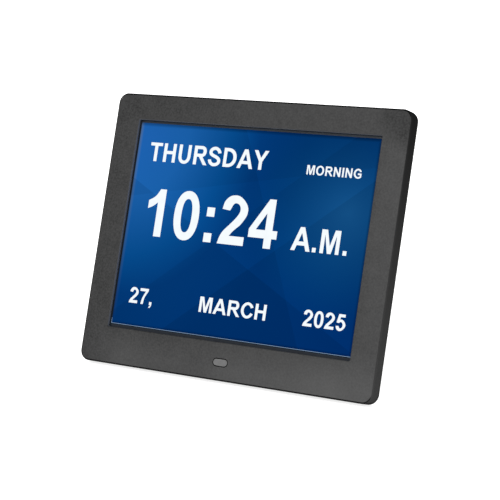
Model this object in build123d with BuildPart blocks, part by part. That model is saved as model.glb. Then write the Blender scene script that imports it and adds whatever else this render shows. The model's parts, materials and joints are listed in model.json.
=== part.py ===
from build123d import *
import os
from math import cos, radians, sin, sqrt, tan

# Table calendar clock built like an 8 inch photo frame: housing, display, rear keys and easel leg.
# The model stands on the XY plane as it is used: X runs across the face, Y points to the back.
# Places on the housing are given across the face, up the leaning face, and as a depth behind it.
# All sizes are in millimetres and all angles in degrees.

os.makedirs("parts", exist_ok=True)

# Stance
lean_angle = 16.4            # face leans back from upright
stand_open_angle = 29.4      # leg swings from folded to standing

# Housing
body_width = 197.0
body_height = 163.0
corner_radius = 6.2
front_edge_radius = 1.0
rear_edge_radius = 0.8
face_wall = 2.0
side_wall = 2.2
flange_thickness = 1.6
seam_chamfer = 0.3

# Joins and cuts
weld = 0.2                   # sink of one form into the next, so that they join
overcut = 1.0                # run of a cut past the surface it opens
least_corner = 0.3
end_rounding = 0.45          # corner radius of a slot or a can, as a part of its width

# Display: an 8 inch panel with a 4 to 3 picture
bezel_side = 17.5            # from the picture to the outside of the housing
bezel_top = 17.1
bezel_bottom = 24.4
margin_side = 0.7            # from the picture to the bezel opening
margin_top = 1.6
margin_bottom = 2.4
opening_corner = 0.8
opening_chamfer = 0.4
panel_border = 5.3           # from the opening to the panel's edge
panel_gap = 0.3              # round the panel in the housing
glass_overlap = 3.0
guide_overlap = 1.5
gasket_thickness = 0.3
gasket_setback = 0.5         # from the opening
glass_thickness = 1.2
diffuser_thickness = 0.4
guide_thickness = 2.0
reflector_thickness = 0.2
tray_sheet = 0.4
tray_setback = 0.6           # from the glass's front to the tray's edge
stack_gap = 0.1              # between nested display pieces
led_space = 3.0              # below the light guide
led_bar_margin = 2.0         # from the picture's side
led_bar_height = 0.8
led_count = 20
led_width = 3.0
led_height = 1.05
led_setback = 0.4            # from the light guide's faces
driver_board_in = 11.0       # from the main board's left edge
driver_board_gap = 5.0       # to the infrared board's flat cable
driver_board_height = 18.0
driver_board_thickness = 1.0
driver_board_lift = 3.1      # from the panel's lower edge
driver_chip = (14.0, 3.0, 0.8)
driver_chip_drop = 2.0       # below the board's middle
flex_margin = 2.0            # from the driver board's ends
flex_gap = 6.0               # between the two flexes
flex_side_gap = 1.0          # beside a flex, in the walls it passes
flex_thickness = 0.2

# Moulded details of the bezel
locator_wall = 1.5
locator_drop = 0.7           # from the panel's back to the top of its locating wall
hook_width = 8.0
hook_reach = 1.1
hook_thickness = 0.45
rim_clearance = 0.6          # from the panel's back to the rear cover
web_thickness = 1.0
web_depth = 2.6
web_pitch = 26.0

# Screws that close the housing
boss_radius = 3.0
boss_inset = 4.8             # from the inner side wall
boss_rise = 5.8              # from the inner bottom or top wall
screw_core_radius = 0.9
screw_head_radius = 2.2
screw_length = 5.6
screw_cross = (2.6, 0.6)
screw_slot_depth = 0.6
pilot_floor = 0.6            # from the face's inside to the end of a pilot hole
pilot_clearance = 0.05
shank_clearance = 0.4
head_clearance = 0.1

# Remote-control window
window_height_up = 10.55
window_width = 9.2
window_height = 3.8
window_gap = 0.2
window_rebate = 0.35
window_flange = 1.4
window_flange_thickness = 0.8
receiver_width = 6.0
receiver_height = 5.0
receiver_thickness = 2.6
receiver_lens_radius = 1.8
receiver_lens_height = 1.0
receiver_gap = 0.2
ir_board_width = 30.0
ir_board_height = 8.0
ir_board_thickness = 1.0
ir_post_spacing = 24.0
ir_post_radius = 1.8
ir_peg_radius = 0.9
ir_peg_clearance = 0.1
ir_flex_width = 6.0
ir_flex_thickness = 0.3
ir_flex_rise = 14.0          # from the main board's lower edge
ir_flex_tuck = 2.0           # under the main board

# Rear cover
rear_depth = 23.5
cover_wall = 2.2
plateau_side = 18.5          # from the plateau to the outside of the housing
plateau_top = 17.0
plateau_bottom = 16.0
plateau_corner = 10.0
plateau_draft = 3.0
plateau_edge_radius = 2.0
plateau_root_radius = 0.8
lip_height = 1.2
lip_thickness = 1.2
lip_clearance = 0.15

# Easel leg and its hinge
hinge_drop = 50.0            # below the plateau's top
hinge_rib_spacing = 9.0      # from the pin
hinge_rib_width = 2.4
pin_radius = 1.5
pin_clearance = 0.05
pin_head_radius = 2.5
pin_head_thickness = 1.2
pin_side_gap = 0.15
pin_groove_depth = 0.35
pin_tip = 1.0                # beyond the clip
clip_thickness = 0.8
clip_band = 1.6
clip_clearance = 0.05
clip_opening = 1.6           # as a part of the groove's radius
knuckle_radius = 3.0
leg_thickness = 5.0
leg_skin = 1.8
leg_front = 0.5              # from the pin's axis back to the leg's front face
leg_tip_width = 36.0
leg_shoulder = 9.0           # below the pin, where the sides start to draw in
leg_edge_radius = 1.0
leg_border = 2.4
leg_rib = 1.4
leg_rows = 5
leg_stop_gap = 0.15
recess_width = 52.0
recess_gap = 0.3             # from the folded leg to the floor of its recess
recess_above_pin = 8.0
pocket_below_pin = 6.5
pocket_gap = 0.5
washer_thickness = 1.2
washer_gap = 0.15
washer_extra_radius = 0.3
foot_height = 8.0
foot_skin = 1.1
foot_tongue = 5.0
foot_chamfer = 0.5

# Rear keys
key_names = ["exit", "right", "down", "up", "left", "menu", "power"]  # read from the front
key_pitch = 11.0
key_row_drop = 9.0           # below the plateau's top
key_radius = 3.3
key_gap = 0.2
key_proud = 0.3
key_travel = 0.6
key_flange = 0.9
key_flange_thickness = 0.8
key_flange_gap = 0.2
key_stem_radius = 1.5
key_stem_gap = 0.1           # to the switch, with the key pressed
key_dish_depth = 0.3
key_panel_margin = 2.6
key_panel_depth = 0.5
switch_size = 6.0
switch_height = 3.5
switch_well_depth = 1.2
switch_well_gap = 0.3
switch_drop = 3.0            # from the cover's inside
key_board_height = 11.0
key_board_margin = 2.6       # beyond the posts
key_board_grip = 4.0         # of its screws in the posts
board_thickness = 1.6
board_corner = 0.8
key_post_margin = 7.5
post_radius = 2.0

# Main board, midway between the driver board and the key board
board_depth = 8.0
board_side_gap = 0.1         # to the plateau's sloping left wall
board_width = 50.0
board_height = 58.0
board_drop = 0.65            # below the middle
board_screw_radius = 1.0
board_screw_head = 2.1
board_screw_head_height = 1.2
board_screw_cross = (2.4, 0.6)
board_hole_clearance = 0.15
standoff_radius = 2.4
standoff_screw_length = 1.2

# On the main board, from its lower left corner: across, up, width, height and thickness
board_screws_in = [(19.0, 3.5), (46.5, 3.5), (46.5, 54.5), (30.0, 54.5)]
processor_in = (37.0, 36.0, 14.0, 14.0, 1.2)
memory_in = [(38.0, 48.0, 12.0, 6.0, 1.0), (21.5, 22.0, 9.0, 8.0, 1.0)]
crystal_in = (28.0, 22.0, 3.8, 10.0, 3.5)
speaker_plug_in = (46.5, 27.0, 4.0, 9.0, 3.0)
capacitors_in = [(20.0, 10.0), (27.0, 10.0)]
chip_corner = 0.4
capacitor_radius = 3.15
capacitor_height = 6.0
cell_in = (39.0, 15.0)
cell_radius = 6.25
cell_thickness = 2.0
cell_gap = 0.1
holder_size = 14.0
holder_floor = 0.4
holder_rim = 0.2             # above the cell
holder_corner = 1.0

# Flat cables, their connectors and the speaker wires
cable_thickness = 0.3
cable_bend = 2.0
connector_height = 1.5
connector_length = 3.0       # along the cable
connector_margin = 1.5       # at each side of the cable
connector_setback = 0.2      # from the board's edge
panel_cable_in = 33.5        # from the main board's left edge
panel_cable_width = 16.0
panel_cable_level = 0.4      # level part of the run at each end
key_cable_in = 38.0
key_cable_width = 8.0
key_cable_level = 0.35
ir_connector_height = 0.9
wire_radius = 0.8
wire_bend = 2.0
wire_gap = 0.3
wire_leads = {"left": 6.0, "right": 9.0}     # level run from the speaker
wire_turns = {"left": 7.0, "right": 10.0}    # beside the plug, from the board's edge

# Stops between, from the main board's lower right corner: across, up and behind its back
wire_stops = {
    "left": [(-1.0, -9.0, 3.0), (5.0, 5.0, 2.4)],
    "right": [(43.0, -9.0, 2.8), (19.0, 11.0, 2.0)],
}

# Sockets along the board's outer edge
port_corner = 0.5
port_reach = 0.3             # of the wall's openings, over the board
jack_rise = 6.5              # from the board's lower edge
jack_width = 9.0
jack_gap = 0.7               # to the cover's inside
jack_length = 14.0
jack_bore_radius = 3.0
jack_bore_drop = 4.5         # from the jack's back
jack_bore_depth = 10.0
jack_pin_radius = 1.0
jack_pin_length = 9.0
jack_pin_base_radius = 2.0
jack_pin_base = 0.6
jack_window_radius = 4.5
usb_rise = 19.2
usb_width = 13.1
usb_height = 5.9
usb_length = 14.0
usb_shell = 0.4
usb_tongue_thickness = 1.8
usb_tongue_width = 11.0
usb_tongue_setback = 1.0
usb_tongue_gap = 0.3         # to the shell
usb_window_margin = 0.4
card_rise = 41.5
card_width = 28.0
card_height = 2.9
card_length = 26.0
card_shell = 0.4
card_slot_width = 24.6
card_window_height = 3.4

# Speakers and their grilles
speaker_inset = 24.0         # from the plateau's side
speaker_rise = 19.0          # from the plateau's bottom
speaker_radius = 12.5
speaker_flange = 1.0
basket_radius = 11.0
basket_wall = 0.6
basket_depth = 5.0
cone_gap = 0.3
cone_thickness = 0.5
cone_throat_radius = 4.0
cone_cap_edge = 0.4
cone_cap_rise = 1.2
magnet_radius = 7.0
magnet_height = 3.2
speaker_ring_wall = 1.4
speaker_ring_gap = 0.2
speaker_ring_height = 3.0
grille_radius = 9.0
grille_slot = 1.4
grille_pitch = 2.6

# Vents and wall-hanging keyholes
vent_count = 11
vent_pitch = 5.6
vent_slot = 1.8
vent_length = 12.0
vent_drop = 26.0             # from the plateau's top to the middle of the slots
keyhole_inset = 20.0         # from the plateau's side
keyhole_entry_radius = 4.0
keyhole_entry_drop = 28.0
keyhole_neck_width = 4.0
keyhole_rise = 7.0

# Sizes that follow
picture_width = body_width - 2 * bezel_side
picture_height = body_height - bezel_top - bezel_bottom
picture_centre = bezel_bottom + picture_height / 2
opening_width = picture_width + 2 * margin_side
opening_height = picture_height + margin_top + margin_bottom
opening_centre = picture_centre + (margin_top - margin_bottom) / 2
panel_width = opening_width + 2 * panel_border
panel_height = opening_height + 2 * panel_border
panel_bottom = opening_centre - panel_height / 2
glass_front = face_wall + gasket_thickness
glass_back = glass_front + glass_thickness
diffuser_back = glass_back + diffuser_thickness
guide_back = diffuser_back + guide_thickness
reflector_back = guide_back + reflector_thickness
panel_back = reflector_back + tray_sheet
rim_depth = panel_back + rim_clearance
body_depth = rim_depth + flange_thickness
inner_width = body_width - 2 * side_wall
inner_height = body_height - 2 * side_wall
inner_corner = max(corner_radius - side_wall, least_corner)
body_centre = body_height / 2
back_inner = rear_depth - cover_wall
plateau_width = body_width - 2 * plateau_side
plateau_height = body_height - plateau_top - plateau_bottom
plateau_centre = plateau_bottom + plateau_height / 2
plateau_high = body_height - plateau_top
window_back = face_wall + window_flange_thickness
receiver_back = window_back + receiver_gap + receiver_thickness
ir_board_back = receiver_back + ir_board_thickness
board_back = board_depth + board_thickness
switch_top = back_inner - switch_drop
key_board_back = switch_top - switch_height
key_board_depth = key_board_back - board_thickness
jack_height = back_inner - jack_gap - board_back
jack_bore_rise = jack_height - jack_bore_drop
leg_back = leg_front + leg_thickness
hinge_depth = rear_depth - leg_back      # the folded leg is flush with the plateau
key_row_height = plateau_high - key_row_drop
hinge_height = plateau_high - hinge_drop
speaker_across = plateau_width / 2 - speaker_inset
speaker_up = plateau_bottom + speaker_rise
keyhole_across = plateau_width / 2 - keyhole_inset
keyhole_entry_up = plateau_high - keyhole_entry_drop
recess_floor = hinge_depth + leg_front - recess_gap
pocket_floor = hinge_depth - knuckle_radius - pocket_gap
recess_top = hinge_height + recess_above_pin
leg_width = recess_width - 2 * (washer_thickness + 2 * washer_gap)

# Boards, from the driver board at the bottom to the key board at the top
driver_bottom = panel_bottom + driver_board_lift
driver_centre = driver_bottom + driver_board_height / 2
key_board_bottom = key_row_height - key_board_height / 2
wall_slope = (back_inner - rim_depth) * tan(radians(plateau_draft))
board_left = cover_wall + wall_slope + board_side_gap - plateau_width / 2
board_right = board_left + board_width
board_centre_across = board_left + board_width / 2
board_centre_up = (driver_bottom + driver_board_height + key_board_bottom) / 2 - board_drop
board_bottom = board_centre_up - board_height / 2
driver_board_left = board_left + driver_board_in
driver_board_width = -driver_board_left - ir_flex_width / 2 - driver_board_gap
driver_board_centre = driver_board_left + driver_board_width / 2
flex_width = (driver_board_width - 2 * flex_margin - flex_gap) / 2
panel_cable_across = board_left + panel_cable_in
key_cable_across = board_left + key_cable_in
ir_flex_top = board_bottom + ir_flex_rise
jack_height_up = board_bottom + jack_rise
usb_height_up = board_bottom + usb_rise
card_height_up = board_bottom + card_rise

# Directions and the frame's own plane
lean = radians(lean_angle)
splay = radians(stand_open_angle - lean_angle)
swing = radians(stand_open_angle)
outward = (0, -cos(lean), sin(lean))
upward = (0, sin(lean), cos(lean))
depth_axis = Axis((0, 0, 0), outward)

# The rear bottom edge and the foot stand on the floor, and the origin is centred under the whole.
rise = body_depth * sin(lean) - rear_edge_radius * (sin(lean) + cos(lean) - 1)
hinge_y = hinge_height * sin(lean) + hinge_depth * cos(lean)
hinge_z = hinge_height * cos(lean) - hinge_depth * sin(lean) + rise


def leg_reach(behind):
    """Distance down the leg from the pin to the floor, on a line this far behind the pin."""
    return (hinge_z + behind * sin(splay)) / cos(splay)


rear_y = hinge_y + leg_back * cos(splay) + leg_reach(leg_back) * sin(splay)
front_y = front_edge_radius * (sin(lean) + cos(lean) - 1)
shift = -(rear_y + front_y) / 2

face_plane = Plane(origin=(0, shift, rise), x_dir=(1, 0, 0), z_dir=outward)
leg_plane = Plane(
    origin=(0, shift + hinge_y, hinge_z),
    x_dir=(1, 0, 0),
    z_dir=(0, -cos(splay), -sin(splay)),
)


def at(depth):
    """Plane at this depth that looks out of the face: x is across and y is up."""
    return face_plane.offset(-depth)


def back(depth):
    """Plane at this depth that looks out of the back: x runs the other way and y is up."""
    return Plane(origin=at(depth).origin, x_dir=(-1, 0, 0), z_dir=(0, cos(lean), -sin(lean)))


def side(across):
    """Plane square to X that looks to the left: x is up the face and y is depth."""
    return Plane(origin=(across, shift, rise), x_dir=upward, z_dir=(-1, 0, 0))


def leg_side(across):
    """The same for the leg: x is up the leg from the pin and y is behind the pin."""
    return Plane(
        origin=(across, shift + hinge_y, hinge_z),
        x_dir=(0, -sin(splay), cos(splay)),
        z_dir=(-1, 0, 0),
    )


def point(across, up, depth):
    """A place on the housing as a point of the model."""
    return at(depth).from_local_coords((across, up, 0))


def slab(across, up, width, height, near, far, corner=0.0, mode=Mode.ADD):
    """A plate parallel to the face, from depth near to depth far."""
    with BuildSketch(at(far)) as outline:
        with Locations((across, up)):
            if corner > 0:
                RectangleRounded(width, height, corner)
            else:
                Rectangle(width, height)
    extrude(outline.sketch, amount=far - near, mode=mode)


def disc(spots, radius, near, far, mode=Mode.ADD):
    """Round bodies square to the face, one at each spot."""
    with BuildSketch(at(far)) as outline:
        with Locations(*spots):
            Circle(radius)
    extrude(outline.sketch, amount=far - near, mode=mode)


def hoop(outer, inner, up, near, far, outer_corner=0.0, inner_corner=0.0):
    """A rectangular ring parallel to the face, from (width, height) outer to inner."""
    with BuildSketch(at(far)) as outline:
        with Locations((0, up)):
            for (width, height), corner, step in (
                (outer, outer_corner, Mode.ADD),
                (inner, inner_corner, Mode.SUBTRACT),
            ):
                if corner > 0:
                    RectangleRounded(width, height, corner, mode=step)
                else:
                    Rectangle(width, height, mode=step)
    extrude(outline.sketch, amount=far - near)


def rod(plane, left, right, radius, mode=Mode.ADD, spot=(0, 0)):
    """A round body along X, from left to right, about a spot of a side plane."""
    with BuildSketch(plane) as outline:
        with Locations(spot):
            Circle(radius)
    extrude(outline.sketch, amount=right - left, dir=(1, 0, 0), mode=mode)


def ribbon(across, stops, bend, width, thickness):
    """A flat cable that runs through stops, given as up the face and depth."""
    with BuildLine() as run:
        FilletPolyline(*[point(across, up, depth) for up, depth in stops], radius=bend)
    start = Plane(origin=run.line @ 0, x_dir=(1, 0, 0), z_dir=run.line % 0)
    with BuildSketch(start) as band:
        Rectangle(width, thickness)
    sweep(band.sketch, path=run.line)


def wire(stops, bend, radius):
    """A round wire that runs through stops, given as across, up and depth."""
    with BuildLine() as run:
        FilletPolyline(*[point(*stop) for stop in stops], radius=bend)
    with BuildSketch(Plane(origin=run.line @ 0, z_dir=run.line % 0)) as band:
        Circle(radius)
    sweep(band.sketch, path=run.line)


def plug(across, up, cable_width, base):
    """A low connector for a flat cable, on the back of a board."""
    width = cable_width + 2 * connector_margin
    slab(across, up, width, connector_length, base, base + connector_height)


def chip(place, base, corner=0.0):
    """A small part on the back of a board, from (across, up, width, height, thickness)."""
    across, up, width, height, thickness = place
    slab(across, up, width, height, base, base + thickness, corner)


def on_board(place):
    """A place given from the main board's lower left corner, as across and up the face."""
    across, up, *size = place
    return (board_left + across, board_bottom + up, *size)


def save(piece, name):
    """Labels a finished piece and writes it under its name."""
    piece.part.label = name
    export_step(piece.part, f"parts/{name}.step")


boss_across = inner_width / 2 - boss_inset
boss_ups = [side_wall + boss_rise, body_centre, body_height - side_wall - boss_rise]
boss_spots = [(sign * boss_across, up) for sign in (-1, 1) for up in boss_ups]
flex_spots = [driver_board_centre + sign * (flex_width + flex_gap) / 2 for sign in (-1, 1)]
flex_out = panel_bottom - panel_gap
flex_in = panel_bottom + panel_border - glass_overlap
key_spots = [(index - (len(key_names) - 1) / 2) * key_pitch for index in range(len(key_names))]
key_post_spots = [(sign * (key_spots[-1] + key_post_margin), key_row_height) for sign in (-1, 1)]
keyhole_spots = [sign * keyhole_across for sign in (-1, 1)]
speaker_spots = {"left": (-speaker_across, speaker_up), "right": (speaker_across, speaker_up)}

# Front bezel: face, rim and the display opening
locator_inner = (panel_width + 2 * panel_gap, panel_height + 2 * panel_gap)
locator_outer = tuple(size + 2 * locator_wall for size in locator_inner)
locator_top = panel_back - locator_drop
hook_top = panel_back + hook_thickness

with BuildPart() as front_bezel:
    slab(0, body_centre, body_width, body_height, 0, rim_depth, corner_radius)
    fillet(front_bezel.faces().sort_by(depth_axis)[-1].edges(), front_edge_radius)
    chamfer(front_bezel.faces().sort_by(depth_axis)[0].edges(), seam_chamfer)
    slab(0, body_centre, inner_width, inner_height, face_wall, rim_depth, inner_corner, Mode.SUBTRACT)
    slab(
        0, opening_centre, opening_width, opening_height, 0, face_wall,
        opening_corner, Mode.SUBTRACT,
    )
    opening_edges = front_bezel.faces().sort_by(depth_axis)[-1].inner_wires()[0].edges()
    chamfer(opening_edges, opening_chamfer)

    # Slot for the remote-control window, with a shallow rebate round it
    for margin, depth in ((window_gap, face_wall), (window_gap + window_rebate, window_rebate)):
        with BuildSketch(at(depth)) as slot:
            with Locations((0, window_height_up)):
                SlotOverall(window_width + 2 * margin, window_height + 2 * margin)
        extrude(slot.sketch, amount=depth, mode=Mode.SUBTRACT)

    # Wall that locates the panel, open where its flexes fold round it
    hoop(locator_outer, locator_inner, opening_centre, face_wall, locator_top)
    for spot in flex_spots:
        slab(
            spot, flex_out - locator_wall / 2, flex_width + 2 * flex_side_gap, locator_wall + weld,
            face_wall, locator_top, mode=Mode.SUBTRACT,
        )

    # Snap hooks over the panel's back edge, on the sides and the top
    for sign in (-1, 1):
        for up in (-panel_height / 4, panel_height / 4):
            centre = sign * (locator_inner[0] / 2 + locator_wall / 2)
            slab(centre, opening_centre + up, locator_wall, hook_width, face_wall, hook_top)
            slab(
                centre - sign * hook_reach / 2, opening_centre + up, locator_wall + hook_reach, hook_width,
                panel_back + stack_gap, hook_top,
            )
        centre = opening_centre + locator_inner[1] / 2 + locator_wall / 2
        across = sign * panel_width / 4
        slab(across, centre, hook_width, locator_wall, face_wall, hook_top)
        slab(
            across, centre - hook_reach / 2, hook_width, locator_wall + hook_reach,
            panel_back + stack_gap, hook_top,
        )

    # Stiffening webs between the locating wall and the rim
    for sign in (-1, 1):
        web_length = (inner_width - locator_outer[0]) / 2 + 2 * weld
        web_across = sign * (inner_width / 2 + weld - web_length / 2)
        for step in (-2, -1, 1, 2):
            slab(
                web_across, body_centre + step * web_pitch, web_length, web_thickness,
                face_wall, face_wall + web_depth,
            )

    # Screw bosses on short gussets, with blind pilot holes
    disc(boss_spots, boss_radius, face_wall, rim_depth)
    for across, up in boss_spots:
        sign = 1 if across > 0 else -1
        gusset = boss_inset + weld
        slab(
            across + sign * gusset / 2, up, gusset, web_thickness,
            face_wall, rim_depth - lip_height - 2 * lip_clearance,
        )
    disc(
        boss_spots, screw_core_radius + pilot_clearance,
        face_wall + pilot_floor, rim_depth, Mode.SUBTRACT,
    )

    # Posts and pegs that carry the infrared board
    ir_posts = [(sign * ir_post_spacing / 2, window_height_up) for sign in (-1, 1)]
    disc(ir_posts, ir_post_radius, face_wall, receiver_back)
    disc(ir_posts, ir_peg_radius, receiver_back, rim_depth - stack_gap)
save(front_bezel, "front_bezel")

# Display panel, from the gasket to the metal tray
glass_size = (opening_width + 2 * glass_overlap, opening_height + 2 * glass_overlap)
guide_size = (opening_width + 2 * guide_overlap, opening_height + 2 * guide_overlap)
mid_frame_size = (
    panel_width - 2 * (tray_sheet + stack_gap),
    panel_height - 2 * (tray_sheet + stack_gap),
)
glass_pocket = tuple(size + 4 * stack_gap for size in glass_size)
guide_pocket = tuple(size + 4 * stack_gap for size in guide_size)

with BuildPart() as bezel_gasket:
    gasket_inner = (opening_width + 2 * gasket_setback, opening_height + 2 * gasket_setback)
    hoop(glass_size, gasket_inner, opening_centre, face_wall, glass_front)
save(bezel_gasket, "bezel_gasket")

with BuildPart() as lcd_glass:
    slab(0, opening_centre, *glass_size, glass_front, glass_back)
save(lcd_glass, "lcd_glass")

with BuildPart() as diffuser_sheet:
    slab(0, opening_centre, *guide_size, glass_back, diffuser_back)
save(diffuser_sheet, "diffuser_sheet")

with BuildPart() as light_guide:
    guide_height = guide_size[1] - led_space
    slab(0, opening_centre + led_space / 2, guide_size[0], guide_height, diffuser_back, guide_back)
save(light_guide, "light_guide")

with BuildPart() as reflector_sheet:
    slab(0, opening_centre, *guide_size, guide_back, reflector_back)
save(reflector_sheet, "reflector_sheet")

with BuildPart() as backlight_led_bar:
    bar_width = picture_width - 2 * led_bar_margin
    bar_bottom = opening_centre - guide_size[1] / 2
    slab(
        0, bar_bottom + led_bar_height / 2, bar_width, led_bar_height,
        diffuser_back + stack_gap, guide_back - stack_gap,
    )
    led_pitch = bar_width / led_count
    for index in range(led_count):
        slab(
            (index - (led_count - 1) / 2) * led_pitch,
            bar_bottom + led_bar_height - weld + led_height / 2, led_width, led_height,
            diffuser_back + led_setback, guide_back - led_setback,
        )
save(backlight_led_bar, "backlight_led_bar")

with BuildPart() as lcd_mid_frame:
    hoop(mid_frame_size, glass_pocket, opening_centre, glass_front, glass_back)
    hoop(mid_frame_size, guide_pocket, opening_centre, glass_back, reflector_back)
    for spot in flex_spots:
        slab(
            spot, (flex_out + flex_in + flex_side_gap) / 2,
            flex_width + flex_side_gap, flex_in + flex_side_gap - flex_out,
            glass_front, glass_front + 4 * flex_thickness, mode=Mode.SUBTRACT,
        )
save(lcd_mid_frame, "lcd_mid_frame")

with BuildPart() as lcd_tray:
    tray_inner = (panel_width - 2 * tray_sheet, panel_height - 2 * tray_sheet)
    slab(0, opening_centre, panel_width, panel_height, reflector_back, panel_back)
    tray_front = glass_front + tray_setback
    hoop((panel_width, panel_height), tray_inner, opening_centre, tray_front, reflector_back)
    for spot in flex_spots:
        slab(
            spot, panel_bottom, flex_width + flex_side_gap, 3 * tray_sheet,
            tray_front, glass_front + 4 * flex_thickness, mode=Mode.SUBTRACT,
        )
save(lcd_tray, "lcd_tray")

# Driver board on the tray's back, with its chips and the cable connector
driver_back = panel_back + driver_board_thickness
driver_plug_up = driver_centre + (driver_board_height - connector_length) / 2 - connector_setback

with BuildPart() as panel_driver_board:
    slab(
        driver_board_centre, driver_centre, driver_board_width, driver_board_height,
        panel_back, driver_back,
    )
    plug(panel_cable_across, driver_plug_up, panel_cable_width, driver_back)
    for spot in flex_spots:
        chip((spot, driver_centre - driver_chip_drop, *driver_chip), driver_back)
save(panel_driver_board, "panel_driver_board")

# Bonded flexes fold from the glass round the panel's lower edge to the driver board
with BuildPart() as panel_flexes:
    flex_mid = glass_front + 1.5 * flex_thickness
    flex_behind = panel_back + flex_thickness
    for spot in flex_spots:
        with BuildSketch(side(spot + flex_width / 2)) as fold:
            with BuildLine():
                Polyline(
                    (flex_in, flex_mid),
                    (flex_out, flex_mid),
                    (flex_out, flex_behind + flex_thickness),
                    (driver_bottom, flex_behind + flex_thickness),
                    (driver_bottom, flex_behind),
                    (flex_out + flex_thickness, flex_behind),
                    (flex_out + flex_thickness, flex_mid + flex_thickness),
                    (flex_in, flex_mid + flex_thickness),
                    close=True,
                )
            make_face()
        extrude(fold.sketch, amount=flex_width)
save(panel_flexes, "panel_flexes")

# Remote-control window, receiver and board
with BuildPart() as ir_window:
    with BuildSketch(at(face_wall)) as lens:
        with Locations((0, window_height_up)):
            SlotOverall(window_width, window_height)
    extrude(lens.sketch, amount=face_wall)
    with BuildSketch(at(window_back)) as flange:
        with Locations((0, window_height_up)):
            SlotOverall(window_width + 2 * window_flange, window_height + 2 * window_flange)
    extrude(flange.sketch, amount=window_flange_thickness)
save(ir_window, "ir_window")

with BuildPart() as ir_receiver:
    lens_front = receiver_back - receiver_thickness
    slab(
        0, window_height_up, receiver_width, receiver_height,
        lens_front + receiver_lens_height, receiver_back,
    )
    disc([(0, window_height_up)], receiver_lens_radius, lens_front, receiver_back)
save(ir_receiver, "ir_receiver")

with BuildPart() as ir_board:
    slab(
        0, window_height_up, ir_board_width, ir_board_height,
        receiver_back, ir_board_back, board_corner,
    )
    disc(ir_posts, ir_peg_radius + ir_peg_clearance, receiver_back, ir_board_back, Mode.SUBTRACT)
save(ir_board, "ir_board")

with BuildPart() as ir_flex:
    flex_foot = window_height_up + ir_board_height / 4
    flex_end = board_right - ir_flex_tuck
    turn_width = ir_flex_width / 2 - flex_end
    slab(
        0, (flex_foot + ir_flex_top) / 2, ir_flex_width, ir_flex_top - flex_foot,
        ir_board_back, ir_board_back + ir_flex_thickness,
    )
    slab(
        flex_end + turn_width / 2, ir_flex_top - ir_flex_width / 2, turn_width, ir_flex_width,
        ir_board_back, ir_board_back + ir_flex_thickness,
    )
save(ir_flex, "ir_flex")

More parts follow.
